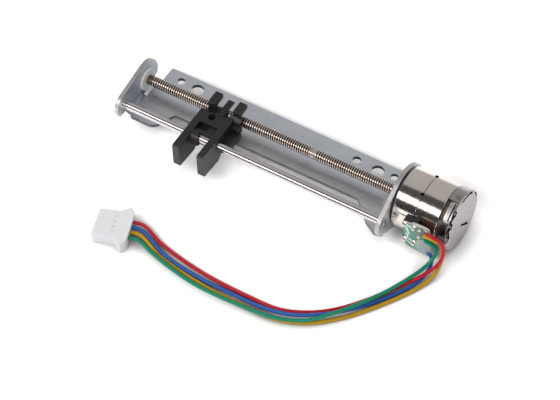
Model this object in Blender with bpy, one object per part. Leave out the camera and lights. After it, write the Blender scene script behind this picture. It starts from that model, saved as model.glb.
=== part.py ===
"""Stepper motor linear slide: a folded sheet bracket carries a tin-can stepper motor, its lead
screw and a guide rod, and a moulded slider with comb fingers runs along both.

Metres, +Z up. Inside the slide's own datum x runs along the screw from the end plate's inner face
towards the motor, and y and z are measured from the screw's axis. The guide rod lies on the -y
side. The datum is an empty, placed so that the middle of the slide's footprint is at the origin.
"""

import math

import bmesh
import bpy
from mathutils import Vector

# Bracket
SHEET = 0.001
RAIL_SPAN = 0.0709
BEND_INNER_RADIUS = 0.0004
BASE_TOP_DROP = 0.0036
BASE_FAR_EDGE = 0.00845
BASE_FAR_START = 0.0018
CORNER_ROUNDING = 0.0006
EAR_FAR_ROUNDING = 0.0024
EAR_END_ROUNDING = 0.0009
RELIEF_ROUNDING = 0.0003
END_PLATE_RADIUS = 0.005
FLANGE_RADIUS = 0.008
ROD_LOBE_RADIUS = 0.0034
END_TONGUE_FAR = 0.0029
END_TONGUE_NEAR = 0.0086
RELIEF_WIDTH = 0.0015
RELIEF_DEPTH = 0.0018
LOBE_CLEARANCE = 0.0003
EAR_REACH = 0.0095
FLANGE_EAR_REACH = 0.0108
CUTOUT_START = 0.01045
CUTOUT_END_FROM_FLANGE = 0.00955
CUTOUT_FAR_EDGE = 0.0039
CUTOUT_LEAN = 0.00275
CUTOUT_ROUNDING = 0.0005
EAR_SETBACK = 0.0008
FLANGE_EAR_RISE = 0.0018
FLANGE_EAR_LEAN = 0.0031
FLANGE_EAR_ROUNDING = 0.0012
MOUNT_HOLE_SETBACK = 0.0004
SMALL_HOLE = 0.0021
MIDDLE_HOLE = 0.0023
MOUNT_HOLE = 0.0034
HOLE_ROW = 0.0058
END_SMALL_HOLE = 0.00595
END_MOUNT_HOLE = 0.0108
END_MIDDLE_HOLE = 0.016
FLANGE_SMALL_HOLE = 0.0053
FLANGE_MOUNT_HOLE = 0.00965
FLANGE_MIDDLE_HOLE = 0.0156

# Screw, rod and their seats
SCREW_DIAMETER = 0.0025
SHAFT_DIAMETER = 0.002
PIVOT_DIAMETER = 0.0015
PLAIN_STUB = 0.0029
THREAD_STOP = 0.0005
ROD_DIAMETER = 0.0022
ROD_OFFSET = 0.0094
ROD_CHAMFER = 0.0003
BUSH_FLANGE_RADIUS = 0.00305
BUSH_FLANGE_THICKNESS = 0.0006
BUSH_BODY_RADIUS = 0.00195
BUSH_PEG_RADIUS = 0.0005
BUSH_PEG_NEAR = 0.0024
BUSH_PEG_FAR = 0.0006
BUSH_PEG_SINK = 0.00015
RUNNING_CLEARANCE = 0.00006
SEAT_CLEARANCE = 0.00005

# Motor
CAN_RADIUS = 0.0075
CAN_WALL = 0.0004
CAN_END_WALL = 0.0006
CUP_LENGTH = 0.0057
CAN_STANDOFF = 0.0003
CAN_EDGE = 0.0004
CLAW_ROOT_SINK = 0.0002
SEAM_GAP = 0.0001
CLAWS = 5
CLAW_RADIUS = 0.003
CLAW_THICKNESS = 0.0005
CLAW_ROOT_ANGLE = math.radians(25)
CLAW_TIP_ANGLE = math.radians(9)
CLAW_END_GAP = 0.0004
BOBBIN_WALL = 0.0004
BOBBIN_CORE_RADIUS = 0.0036
BOBBIN_FLANGE_RADIUS = 0.0069
WINDING_RADIUS = 0.0064
MAGNET_RADIUS = 0.0028
MAGNET_LENGTH = 0.0088
HUB_RADIUS = 0.0018
HUB_LIP = 0.0003
HUB_LIP_HEIGHT = 0.0004
WINDING_SWELL = 0.0002
WASHER_THICKNESS = 0.0003
WASHER_RADIUS = 0.0017
BEARING_RADIUS = 0.002
BEARING_COLLAR_RADIUS = 0.0028
BEARING_COLLAR = 0.0006
COVER_RADIUS = 0.0076
COVER_SHEET = 0.0006
COVER_SETBACK = 0.0031
COVER_TAB_THICKNESS = 0.0005
COVER_EDGE = 0.0002
COVER_STEP = 0.00035
SPACER_RADIUS = 0.0068
COVER_SLOT_WIDTH = 0.0005
COVER_SLOT_ENDS = ((-0.0003, -0.0014), (0.0027, -0.0036))
COVER_TAB_INSET = 0.0001
COVER_TABS = ((69, 29), (158, 18), (222, 16), (290, 30))
COVER_STEP_OUTLINE = (
    (-0.0027, 0.0085, 0), (-0.0032, 0.0060, 0.0004), (-0.0042, 0.0050, 0.0003),
    (-0.0056, 0.0053, 0.0004), (-0.0050, 0.0029, 0.0005), (-0.0065, 0.0028, 0.0004),
    (-0.0059, 0.0003, 0.0006), (-0.0066, -0.0006, 0.0003), (-0.0090, -0.0004, 0), (-0.0090, 0.0085, 0),
)

# Terminal block and board
BLOCK_WIDTH = 0.0034
BLOCK_TOP = 0.0033
BLOCK_REACH = 0.0088
BLOCK_NECK_WIDTH = 0.0028
BLOCK_NECK_HEIGHT = 0.0056
BOARD_THICKNESS = 0.00045
BOARD_START_FROM_SEAM = 0.0017
BOARD_LENGTH = 0.0073
BOARD_TOP = 0.0042
BOARD_DROP = 0.0057
BOARD_SLOPE = 0.0009
BOARD_CORNER = 0.0006
PIN_SIDE = 0.0005
PIN_HOLE = 0.0008
PIN_ROW_HALF = 0.0028
PIN_PAIR_SPACING = 0.0024
PIN_OFFSET = 0.0002
PIN_STAND_OUT = 0.00065
SOLDER_RADIUS = 0.00075
SOLDER_HEIGHT = 0.0005
SOLDER_WAIST = 0.000175
SOLDER_WAIST_RADIUS = 0.0006

# Slider
SLIDER_START = 0.0175
SLIDER_WIDTH = 0.0087
SLIDER_TOP = 0.002
SLIDER_BLOCK_DROP = 0.0028
SLIDER_FAR_TOP = 0.0014
SLIDER_SLOPE_START = 0.0026
SLIDER_FAR_EDGE = 0.0018
SADDLE_START = 0.00125
SADDLE_WIDTH = 0.0049
SADDLE_FAR_EDGE = 0.00085
ARM_WIDTH = 0.0018
ARM_TWO_START = 0.0068
ARM_REACH = 0.0158
ARM_DROP = 0.005
ARM_CHAMFER = 0.0003
ARM_BELLY = 0.0005
ARM_ONE_ROOT = 0.0025
SLEEVE_RADIUS = 0.0021
SLEEVE_LENGTH = 0.0037
FINGER_WIDTH = 0.00185
FINGER_TOP = 0.004
FINGER_THICKNESS = 0.0015
FINGER_REACH = 0.00235
FINGER_LEG = 0.001
FINGER_EDGE = 0.0002
FINGER_TIP_EDGE = 0.0003
FINGER_FILLET = 0.0004
FINGER_ONE_NEAR = 0.00155
FINGER_THREE_NEAR = 0.0012
FINGER_THREE_START = 0.008
TONGUE_START = 0.00433
TONGUE_WIDTH = 0.0015
TONGUE_THICKNESS = 0.0006
TONGUE_CHAMFER = 0.0002
TONGUE_REACH = 0.00295
SHOULDER_START = 0.0071
SHOULDER_WIDTH = 0.0033
SHOULDER_RADIUS = 0.0026
SHELF_END = 0.0108
SHELF_NEAR = 0.008
SHELF_FAR = 0.0024
SHELF_DROP = 0.0006
CHEEK_END = 0.0106
CHEEK_NEAR = 0.0037
CHEEK_FAR = 0.0015
CHEEK_TOP = 0.0009
SLIDER_HOLE = 0.0018
SLIDER_HOLE_PLACE = 0.0037
SLIDER_HOLE_SETBACK = 0.0039
RECESS_DEPTH = 0.0006
RECESS_NEAR = 0.0091
RECESS_FAR = 0.00625
WELL_DEPTH = 0.0016
WELL_NEAR = 0.008
WELL_LENGTH = 0.0029

# Leads and connector
WIRE_DIAMETER = 0.0009
WIRE_POINT_SPACING = 0.0031
CONNECTOR_ANGLE = math.radians(18.5)
CONNECTOR_X = 0.0112
CONNECTOR_Y = -0.0397
CONNECTOR_WIDTH = 0.0075
CONNECTOR_LENGTH = 0.0084
CONNECTOR_HEIGHT = 0.0035
CONNECTOR_WING_REACH = 0.0056
WING_START = 0.0052
WING_TIP = 0.0072
WING_END = 0.0082
WING_ROUNDING = 0.001
CONNECTOR_PITCH = 0.0015
CAVITY_SIDE = 0.00125
CONTACT_SIDE = 0.00085
CONTACT_LENGTH = 0.0042
CONTACT_SETBACK = 0.0007
LATCH_WINDOW = 0.00048
LATCH_LENGTH = 0.0008
LATCH_PLACE = 0.0042

RED_ROUTE = (
    (0.0829, -0.0099, 0.0035), (0.0844, -0.0099, 0.0033), (0.0858, -0.0094, 0.0023),
    (0.0869, -0.0093, 0.0006), (0.0873, -0.0097, -0.0016), (0.0870, -0.0107, -0.0037),
    (0.0859, -0.0121, -0.0054), (0.0845, -0.0145, -0.0061), (0.0822, -0.0174, -0.0071),
    (0.0790, -0.0220, -0.0075), (0.0754, -0.0272, -0.0075), (0.0715, -0.0318, -0.0075),
    (0.0666, -0.0356, -0.0075), (0.0604, -0.0382, -0.0075), (0.0523, -0.0387, -0.0075),
    (0.0391, -0.0382, -0.0075), (0.0271, -0.0361, -0.0073), (0.0205, -0.0342, -0.0063),
    (0.0162, -0.0357, -0.0063),
)
GREEN_ROUTE = (
    (0.0824, -0.0099, 0.0006), (0.0837, -0.0099, 0.0004), (0.0848, -0.0096, -0.0006),
    (0.0853, -0.0094, -0.0023), (0.0850, -0.0103, -0.0039), (0.0843, -0.0120, -0.0052),
    (0.0832, -0.0145, -0.0059), (0.0815, -0.0184, -0.0061), (0.0794, -0.0227, -0.0062),
    (0.0759, -0.0294, -0.0055), (0.0721, -0.0346, -0.0055), (0.0678, -0.0386, -0.0062),
    (0.0613, -0.0414, -0.0064), (0.0546, -0.0422, -0.0065), (0.0419, -0.0426, -0.0066),
    (0.0336, -0.0415, -0.0066), (0.0263, -0.0398, -0.0064), (0.0220, -0.0385, -0.0063),
    (0.0176, -0.0399, -0.0063),
)
BLUE_ROUTE = (
    (0.0814, -0.0099, -0.0026), (0.0827, -0.0099, -0.0026), (0.0838, -0.0099, -0.0034),
    (0.0844, -0.0099, -0.0048), (0.0847, -0.0106, -0.0062), (0.0846, -0.0128, -0.0071),
    (0.0838, -0.0160, -0.0075), (0.0820, -0.0199, -0.0075), (0.0788, -0.0249, -0.0075),
    (0.0739, -0.0314, -0.0068), (0.0687, -0.0361, -0.0064), (0.0635, -0.0389, -0.0065),
    (0.0573, -0.0398, -0.0072), (0.0493, -0.0399, -0.0075), (0.0401, -0.0399, -0.0075),
    (0.0291, -0.0384, -0.0073), (0.0210, -0.0356, -0.0063), (0.0167, -0.0371, -0.0063),
)
YELLOW_ROUTE = (
    (0.0822, -0.0099, 0.0023), (0.0836, -0.0099, 0.0023), (0.0849, -0.0095, 0.0017),
    (0.0858, -0.0089, 0.0006), (0.0865, -0.0088, -0.0009), (0.0868, -0.0092, -0.0029),
    (0.0869, -0.0102, -0.0051),
    (0.0866, -0.0129, -0.0066), (0.0853, -0.0163, -0.0074), (0.0826, -0.0213, -0.0075),
    (0.0787, -0.0273, -0.0075), (0.0741, -0.0331, -0.0075), (0.0685, -0.0380, -0.0075),
    (0.0617, -0.0409, -0.0075), (0.0523, -0.0414, -0.0075), (0.0417, -0.0412, -0.0075),
    (0.0287, -0.0393, -0.0074), (0.0215, -0.0370, -0.0063), (0.0171, -0.0385, -0.0063),
)

# Places that follow from the sizes above
BASE_BOTTOM = -(BASE_TOP_DROP + SHEET)
BEND_OUTER_RADIUS = BEND_INNER_RADIUS + SHEET
FLANGE_OUTER = RAIL_SPAN + SHEET
FRONT_CAN_START = FLANGE_OUTER + CAN_STANDOFF
SEAM = FRONT_CAN_START + CUP_LENGTH
REAR_CAN_END = SEAM + SEAM_GAP + CUP_LENGTH
COVER_OUTER = REAR_CAN_END + COVER_SETBACK
SCREW_RADIUS = SCREW_DIAMETER / 2
SHAFT_RADIUS = SHAFT_DIAMETER / 2
PIVOT_RADIUS = PIVOT_DIAMETER / 2
ROD_RADIUS = ROD_DIAMETER / 2
DATUM = Vector((
    (SHEET - COVER_OUTER) / 2,
    (ARM_REACH - BASE_FAR_EDGE) / 2,
    FLANGE_RADIUS,
))
ROUND_STEPS = 48
HIDDEN_STEPS = 32
SMALL_STEPS = 24
PEG_STEPS = 12
CURVE_STEPS = 12
OVERSHOOT = 0.001
FOLD_LAP = 0.0002
WEB_INSET = 0.00002
TOUCH = 0.00001


def clear_scene():
    for old in list(bpy.data.objects):
        bpy.data.objects.remove(old, do_unlink=True)


def finish_of(name, colour, roughness, metallic):
    material = bpy.data.materials.new(name)
    material.use_nodes = True
    shader = material.node_tree.nodes["Principled BSDF"]
    shader.inputs["Base Color"].default_value = (*colour, 1)
    shader.inputs["Roughness"].default_value = roughness
    shader.inputs["Metallic"].default_value = metallic
    return material


def object_from(bm, name):
    bmesh.ops.recalc_face_normals(bm, faces=bm.faces)
    mesh = bpy.data.meshes.new(name)
    bm.to_mesh(mesh)
    bm.free()
    piece = bpy.data.objects.new(name, mesh)
    bpy.context.scene.collection.objects.link(piece)
    return piece


def arc(centre, radius, start, end, steps):
    """Points of a circular arc in a plane, both ends included; the angles are in degrees."""
    angles = (math.radians(start + (end - start) * i / steps) for i in range(steps + 1))
    return [(centre[0] + radius * math.cos(a), centre[1] + radius * math.sin(a)) for a in angles]


def circle(centre, radius, steps=SMALL_STEPS):
    return arc(centre, radius, 0, 360, steps)[:-1]


def rounded(corners, steps=4):
    """An outline through (a, b, radius) corners, each rounded by its radius."""
    outline = []
    for i, (a, b, radius) in enumerate(corners):
        here = Vector((a, b))
        back = (Vector(corners[i - 1][:2]) - here).normalized()
        ahead = (Vector(corners[(i + 1) % len(corners)][:2]) - here).normalized()
        if radius == 0:
            outline.append((a, b))
            continue
        half = back.angle(ahead) / 2
        centre = here + (back + ahead).normalized() * radius / math.sin(half)
        first = here + back * radius / math.tan(half) - centre
        last = here + ahead * radius / math.tan(half) - centre
        turn = first.angle_signed(last)
        for k in range(steps + 1):
            angle = -turn * k / steps
            spoke = Vector((
                first.x * math.cos(angle) - first.y * math.sin(angle),
                first.x * math.sin(angle) + first.y * math.cos(angle),
            ))
            outline.append(tuple(centre + spoke))
    return outline


def belt(radius, lobe_radius, steps=32):
    """A belt outline in (y, z) round the screw's boss and the smaller lobe round the rod."""
    lean = math.degrees(math.asin((radius - lobe_radius) / ROD_OFFSET))
    around_screw = arc((0, 0), radius, -90 - lean, 90 + lean, steps)
    around_rod = arc((-ROD_OFFSET, 0), lobe_radius, 90 + lean, 270 - lean, steps // 2)
    return around_screw + around_rod


def above(outline, height):
    """The part of a convex outline whose second coordinate is over the height."""
    kept = []
    for i, point in enumerate(outline):
        before = outline[i - 1]
        if (point[1] > height) != (before[1] > height):
            share = (height - before[1]) / (point[1] - before[1])
            kept.append((before[0] + share * (point[0] - before[0]), height))
        if point[1] > height:
            kept.append(point)
    return kept


PLACED = {
    "X": lambda along, a, b: (along, a, b),
    "Y": lambda along, a, b: (a, along, b),
    "Z": lambda along, a, b: (a, b, along),
}


def prism(name, outline, axis, low, high):
    """A solid with the outline as its section, from low to high along the axis."""
    bm = bmesh.new()
    face = bm.faces.new([bm.verts.new(PLACED[axis](low, a, b)) for a, b in outline])
    made = bmesh.ops.extrude_face_region(bm, geom=[face])["geom"]
    moved = [v for v in made if isinstance(v, bmesh.types.BMVert)]
    bmesh.ops.translate(bm, verts=moved, vec=PLACED[axis](high - low, 0, 0))
    return object_from(bm, name)


def block(name, low, high):
    outline = ((low[1], low[2]), (high[1], low[2]), (high[1], high[2]), (low[1], high[2]))
    return prism(name, outline, "X", low[0], high[0])


def turned(name, profile, steps=ROUND_STEPS, centre=(0, 0)):
    """A solid turned about a line along x: the profile is a closed loop of (x, radius)."""
    bm = bmesh.new()
    rim = [bm.verts.new((x, centre[0], centre[1] + radius)) for x, radius in profile]
    edges = [bm.edges.new((rim[i - 1], rim[i])) for i in range(len(rim))]
    edges = [e for e in edges if max(abs(v.co.z - centre[1]) for v in e.verts) > 1e-9]
    bmesh.ops.spin(
        bm, geom=rim + edges, cent=(0, *centre), axis=(1, 0, 0), angle=math.tau, steps=steps,
        use_merge=True,
    )
    bmesh.ops.remove_doubles(bm, verts=bm.verts, dist=1e-7)
    return object_from(bm, name)


def ring(name, start, end, inner, outer, steps=HIDDEN_STEPS):
    return turned(name, ((start, inner), (start, outer), (end, outer), (end, inner)), steps)


def combine(piece, tools, operation):
    """Applies Booleans on the piece and removes the tools."""
    for tool in tools:
        step = piece.modifiers.new(operation.title(), "BOOLEAN")
        step.operation = operation
        step.solver = "EXACT"
        step.object = tool
        graph = bpy.context.evaluated_depsgraph_get()
        piece.data = bpy.data.meshes.new_from_object(piece.evaluated_get(graph))
        piece.modifiers.clear()
        bpy.data.objects.remove(tool, do_unlink=True)
    return piece


def join(piece, *tools):
    return combine(piece, tools, "UNION")


def cut(piece, *tools):
    return combine(piece, tools, "DIFFERENCE")


def place(piece, name, material, datum, pivot=(0, 0, 0), smooth_angle=40):
    """Names the piece, gives it its finish and puts its origin at the pivot under the datum."""
    piece.name = name
    piece.data.name = name
    for vertex in piece.data.vertices:
        vertex.co -= Vector(pivot)
    piece.data.materials.clear()
    piece.data.materials.append(material)
    piece.data.shade_smooth()
    piece.data.set_sharp_from_angle(angle=math.radians(smooth_angle))
    piece.location = pivot
    piece.parent = datum
    return piece


def hole_cutter(x, y, diameter):
    return prism("hole", circle((x, y), diameter / 2), "Z", BASE_BOTTOM - OVERSHOOT, 0)


def fold(face, inwards, low, high):
    """The bend between the base and an upright plate, along y from low to high."""
    top = -BASE_TOP_DROP
    outer_face = face - inwards * SHEET
    centre = (face + inwards * BEND_INNER_RADIUS, top + BEND_INNER_RADIUS)
    start = 180 if inwards > 0 else 0
    inner = arc(centre, BEND_INNER_RADIUS, start, 270 if inwards > 0 else -90, 4)
    outer = arc(centre, BEND_OUTER_RADIUS, 270 if inwards > 0 else -90, start, 6)
    reach = face + inwards * (BEND_INNER_RADIUS + BEND_OUTER_RADIUS)
    crown = top + BEND_OUTER_RADIUS
    outline = [(outer_face, crown), (face, crown), *inner, (reach, top), (reach, BASE_BOTTOM), *outer]
    return prism("fold", outline, "Y", low, high)


def base_sheet():
    """The flat floor of the bracket with its ears and the long cut-out along the near edge."""
    start = BEND_INNER_RADIUS
    end = RAIL_SPAN - BEND_INNER_RADIUS
    relief = END_TONGUE_FAR + RELIEF_WIDTH
    cutout_end = RAIL_SPAN - CUTOUT_END_FROM_FLANGE
    slope = FLANGE_EAR_REACH - FLANGE_EAR_RISE - CUTOUT_FAR_EDGE
    corners = (
        (BASE_FAR_START, BASE_FAR_EDGE, CORNER_ROUNDING),
        (end, BASE_FAR_EDGE, 0),
        (end, -FLANGE_EAR_REACH, CORNER_ROUNDING),
        (cutout_end + slope + FLANGE_EAR_LEAN, -FLANGE_EAR_REACH, FLANGE_EAR_ROUNDING),
        (cutout_end + slope, -CUTOUT_FAR_EDGE - slope, FLANGE_EAR_ROUNDING),
        (cutout_end, -CUTOUT_FAR_EDGE, CUTOUT_ROUNDING),
        (CUTOUT_START, -CUTOUT_FAR_EDGE, CUTOUT_ROUNDING),
        (CUTOUT_START - CUTOUT_LEAN, -EAR_REACH, EAR_FAR_ROUNDING),
        (start + EAR_SETBACK, -EAR_REACH, EAR_END_ROUNDING),
        (start, -END_TONGUE_NEAR, 0),
        (start, END_TONGUE_FAR, 0),
        (start + RELIEF_DEPTH, END_TONGUE_FAR, RELIEF_ROUNDING),
        (start + RELIEF_DEPTH, relief, RELIEF_ROUNDING),
        (BASE_FAR_START, relief, 0),
    )
    sheet = prism("base", rounded(corners), "Z", BASE_BOTTOM, -BASE_TOP_DROP)
    lobe_height = BASE_TOP_DROP + SHEET / 2
    lobe = circle((RAIL_SPAN + lobe_height, 0), FLANGE_RADIUS + LOBE_CLEARANCE, ROUND_STEPS)
    cut(sheet, prism("lobe", lobe, "Z", BASE_BOTTOM - OVERSHOOT, 0))
    holes = (
        (END_SMALL_HOLE, HOLE_ROW, SMALL_HOLE),
        (END_MOUNT_HOLE, HOLE_ROW - MOUNT_HOLE_SETBACK, MOUNT_HOLE),
        (END_MIDDLE_HOLE, HOLE_ROW, MIDDLE_HOLE),
        (RAIL_SPAN - FLANGE_MIDDLE_HOLE, HOLE_ROW, MIDDLE_HOLE),
        (RAIL_SPAN - FLANGE_MOUNT_HOLE, HOLE_ROW - MOUNT_HOLE_SETBACK, MOUNT_HOLE),
        (RAIL_SPAN - FLANGE_SMALL_HOLE, HOLE_ROW, SMALL_HOLE),
    )
    return cut(sheet, *(hole_cutter(*hole) for hole in holes))


def base_bracket(datum, steel):
    """One folded sheet: floor, round-ended end plate and the motor's flange."""
    bracket = base_sheet()
    crown = BEND_OUTER_RADIUS - BASE_TOP_DROP
    end_outline = above(belt(END_PLATE_RADIUS, ROD_LOBE_RADIUS), crown - FOLD_LAP)
    end_plate = prism("end", end_outline, "X", -SHEET, 0)
    end_fold = fold(0, 1, -END_TONGUE_NEAR, END_TONGUE_FAR)
    flange = prism("flange", belt(FLANGE_RADIUS, ROD_LOBE_RADIUS), "X", RAIL_SPAN, FLANGE_OUTER)
    leg_start = math.sqrt((FLANGE_RADIUS + LOBE_CLEARANCE) ** 2 - BASE_TOP_DROP ** 2)
    root = FLANGE_RADIUS / 2
    rim = FLANGE_RADIUS - WEB_INSET
    web = ((root, 0), (rim, 0), (BASE_FAR_EDGE, crown), (leg_start, crown), (root, crown))
    far_web = prism("web", web, "X", RAIL_SPAN, FLANGE_OUTER)
    far_fold = fold(RAIL_SPAN, -1, leg_start, BASE_FAR_EDGE)
    near_fold = fold(RAIL_SPAN, -1, -FLANGE_EAR_REACH + FOLD_LAP, -leg_start)
    join(bracket, end_fold, end_plate, flange, far_web, far_fold, near_fold)
    through = SHEET + OVERSHOOT
    bush_seat = circle((0, 0), BUSH_BODY_RADIUS + SEAT_CLEARANCE)
    bearing_seat = circle((0, 0), BEARING_RADIUS + SEAT_CLEARANCE)
    rod_seat = circle((-ROD_OFFSET, 0), ROD_RADIUS + SEAT_CLEARANCE)
    cut(
        bracket,
        prism("bush_seat", bush_seat, "X", -through, OVERSHOOT),
        prism("rod_seat", rod_seat, "X", -through, OVERSHOOT),
        prism("rod_seat", rod_seat, "X", RAIL_SPAN - OVERSHOOT, RAIL_SPAN + through),
        prism("bearing_seat", bearing_seat, "X", RAIL_SPAN - OVERSHOOT, RAIL_SPAN + through),
    )
    return place(bracket, "base_bracket", steel, datum, smooth_angle=30)


def guide_rod(datum, chrome):
    start, end = -SHEET, FLANGE_OUTER
    narrow = ROD_RADIUS - ROD_CHAMFER
    profile = (
        (start, 0), (start, narrow), (start + ROD_CHAMFER, ROD_RADIUS),
        (end - ROD_CHAMFER, ROD_RADIUS), (end, narrow), (end, 0),
    )
    rod = turned("rod", profile, SMALL_STEPS, (-ROD_OFFSET, 0))
    return place(rod, "guide_rod", chrome, datum, (0, -ROD_OFFSET, 0))


def lead_screw(datum, steel):
    """The screw's core on its thread's outer diameter, with its stub, motor shaft and pivots."""
    thread_end = RAIL_SPAN - THREAD_STOP
    bevel = (SCREW_DIAMETER - SHAFT_DIAMETER) / 2
    stub_start = BUSH_FLANGE_THICKNESS + SEAT_CLEARANCE * 2
    shaft_end = rear_washer_end() + SEAT_CLEARANCE
    pivot_end = COVER_OUTER - COVER_SHEET - SEAT_CLEARANCE
    profile = (
        (-SHEET / 2, 0), (-SHEET / 2, PIVOT_RADIUS), (stub_start, PIVOT_RADIUS),
        (stub_start, SHAFT_RADIUS), (PLAIN_STUB, SHAFT_RADIUS), (PLAIN_STUB + bevel, SCREW_RADIUS),
        (thread_end - bevel, SCREW_RADIUS), (thread_end, SHAFT_RADIUS), (shaft_end, SHAFT_RADIUS),
        (shaft_end, PIVOT_RADIUS), (pivot_end, PIVOT_RADIUS), (pivot_end, 0),
    )
    return place(turned("screw", profile, SMALL_STEPS), "lead_screw", steel, datum)


def screw_end_bush(datum, nylon):
    """A flanged plastic bush for the screw's end pivot, with a peg that lies across the base."""
    bore = PIVOT_RADIUS + RUNNING_CLEARANCE
    flange_start = SEAT_CLEARANCE
    flange_end = flange_start + BUSH_FLANGE_THICKNESS
    profile = (
        (-SHEET, bore), (-SHEET, BUSH_BODY_RADIUS), (flange_start, BUSH_BODY_RADIUS),
        (flange_start, BUSH_FLANGE_RADIUS), (flange_end, BUSH_FLANGE_RADIUS), (flange_end, bore),
    )
    bush = turned("bush", profile, SMALL_STEPS)
    middle = (flange_end + BUSH_PEG_RADIUS - BUSH_PEG_SINK, -BUSH_FLANGE_RADIUS)
    peg = prism("peg", circle(middle, BUSH_PEG_RADIUS, PEG_STEPS), "Y", -BUSH_PEG_NEAR, BUSH_PEG_FAR)
    join(bush, peg)
    return place(bush, "screw_end_bush", nylon, datum)


def claw(start, end, middle):
    """One tapered pole claw, bent along the rotor from start to its tip at end."""
    bm = bmesh.new()
    steps = 4
    rims = []
    for x, half in ((start, CLAW_ROOT_ANGLE), (end, CLAW_TIP_ANGLE)):
        for radius in (CLAW_RADIUS, CLAW_RADIUS + CLAW_THICKNESS):
            angles = [middle + half * (2 * i / steps - 1) for i in range(steps + 1)]
            rims.append([bm.verts.new((x, radius * math.cos(a), radius * math.sin(a))) for a in angles])
    root_in, root_out, tip_in, tip_out = rims
    for first, second in ((root_in, tip_in), (tip_in, tip_out), (tip_out, root_out), (root_out, root_in)):
        for i in range(steps):
            bm.faces.new((first[i], first[i + 1], second[i + 1], second[i]))
    for i in (0, steps):
        bm.faces.new([rim[i] for rim in (root_in, tip_in, tip_out, root_out)])
    bmesh.ops.triangulate(bm, faces=bm.faces)
    return object_from(bm, "claw")


def with_claws(plate, root, tip, turn):
    spacing = math.tau / CLAWS
    return join(plate, *(claw(root, tip, turn + spacing * i) for i in range(CLAWS)))


def block_window(start, end):
    """A cutter for the can's window, which the terminal block's neck passes through."""
    half = BLOCK_NECK_HEIGHT / 2 + SEAT_CLEARANCE
    return block("window", (start, -CAN_RADIUS - OVERSHOOT, -half), (end, -CAN_RADIUS / 2, half))


def can(name, open_end, closed_end, turn):
    """One deep-drawn cup of the stator, with its ring of pole claws bent in from the end wall."""
    inward = 1 if open_end > closed_end else -1
    wall = closed_end + inward * CAN_END_WALL
    plate_bore = CLAW_RADIUS + CLAW_ROOT_SINK
    crown = CAN_EDGE * (1 - math.cos(math.pi / 4))
    profile = [
        (closed_end, plate_bore), (closed_end, CAN_RADIUS - CAN_EDGE),
        (closed_end + inward * crown, CAN_RADIUS - crown),
        (closed_end + inward * CAN_EDGE, CAN_RADIUS), (open_end, CAN_RADIUS),
        (open_end, CAN_RADIUS - CAN_WALL), (wall, CAN_RADIUS - CAN_WALL), (wall, plate_bore),
    ]
    cup = turned(name, profile)
    tip = open_end - inward * CLAW_END_GAP - inward * CAN_END_WALL
    with_claws(cup, closed_end + inward * CLAW_ROOT_SINK, tip, turn)
    neck = BLOCK_NECK_WIDTH / 2 + SEAT_CLEARANCE
    ends = sorted((open_end + inward * OVERSHOOT, SEAM + SEAM_GAP / 2 - inward * neck))
    return cut(cup, block_window(*ends))


def yoke(name, seam_face, away, turn):
    """The inner stator plate of one half, its claws reaching back between the can's claws."""
    far_face = seam_face + away * CAN_END_WALL
    plate = ring(name, min(seam_face, far_face), max(seam_face, far_face),
                 CLAW_RADIUS + CLAW_ROOT_SINK, BOBBIN_FLANGE_RADIUS)
    reach = CUP_LENGTH - CAN_END_WALL - CLAW_END_GAP
    return with_claws(plate, seam_face + away * CLAW_ROOT_SINK, seam_face + away * reach, turn)


def bobbin(name, start, end):
    core_inner = CLAW_RADIUS + CLAW_THICKNESS + SEAT_CLEARANCE
    core_outer = BOBBIN_CORE_RADIUS + BOBBIN_WALL
    profile = (
        (start, core_inner), (start, BOBBIN_FLANGE_RADIUS),
        (start + BOBBIN_WALL, BOBBIN_FLANGE_RADIUS), (start + BOBBIN_WALL, core_outer),
        (end - BOBBIN_WALL, core_outer), (end - BOBBIN_WALL, BOBBIN_FLANGE_RADIUS),
        (end, BOBBIN_FLANGE_RADIUS), (end, core_inner),
    )
    return turned(name, profile, HIDDEN_STEPS)


def winding(name, start, end):
    gap = SEAT_CLEARANCE
    inner = BOBBIN_CORE_RADIUS + BOBBIN_WALL + gap
    low, high = start + BOBBIN_WALL + gap, end - BOBBIN_WALL - gap
    profile = (
        (low, inner), (low, WINDING_RADIUS), ((low + high) / 2, WINDING_RADIUS + WINDING_SWELL),
        (high, WINDING_RADIUS), (high, inner),
    )
    return turned(name, profile, HIDDEN_STEPS)


def stator(datum, steel, plastic, copper):
    """Two claw-pole halves, back to back and a quarter of a pole pitch apart."""
    pole = math.pi / CLAWS
    rear_start = SEAM + SEAM_GAP
    place(can("can", SEAM, FRONT_CAN_START, 0), "front_can", steel, datum)
    place(yoke("yoke", SEAM - SEAT_CLEARANCE, -1, pole), "front_yoke", steel, datum)
    place(can("can", rear_start, REAR_CAN_END, pole / 2), "rear_can", steel, datum)
    place(yoke("yoke", rear_start + SEAT_CLEARANCE, 1, pole * 1.5), "rear_yoke", steel, datum)
    gap = SEAT_CLEARANCE
    spans = {
        "front": (FRONT_CAN_START + CAN_END_WALL + gap, SEAM - CAN_END_WALL - gap * 2),
        "rear": (rear_start + CAN_END_WALL + gap * 2, REAR_CAN_END - CAN_END_WALL - gap),
    }
    for side, (start, end) in spans.items():
        place(bobbin("bobbin", start, end), side + "_bobbin", plastic, datum)
        place(winding("winding", start, end), side + "_winding", copper, datum)


def front_bearing_end():
    return FRONT_CAN_START + BEARING_COLLAR


def rotor_span():
    """The magnet's two ends, behind the front bearing and its washer."""
    start = front_bearing_end() + WASHER_THICKNESS + HUB_LIP + SEAT_CLEARANCE * 2
    return start, start + MAGNET_LENGTH


def rear_washer_end():
    return rotor_span()[1] + HUB_LIP + SEAT_CLEARANCE + WASHER_THICKNESS


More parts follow.
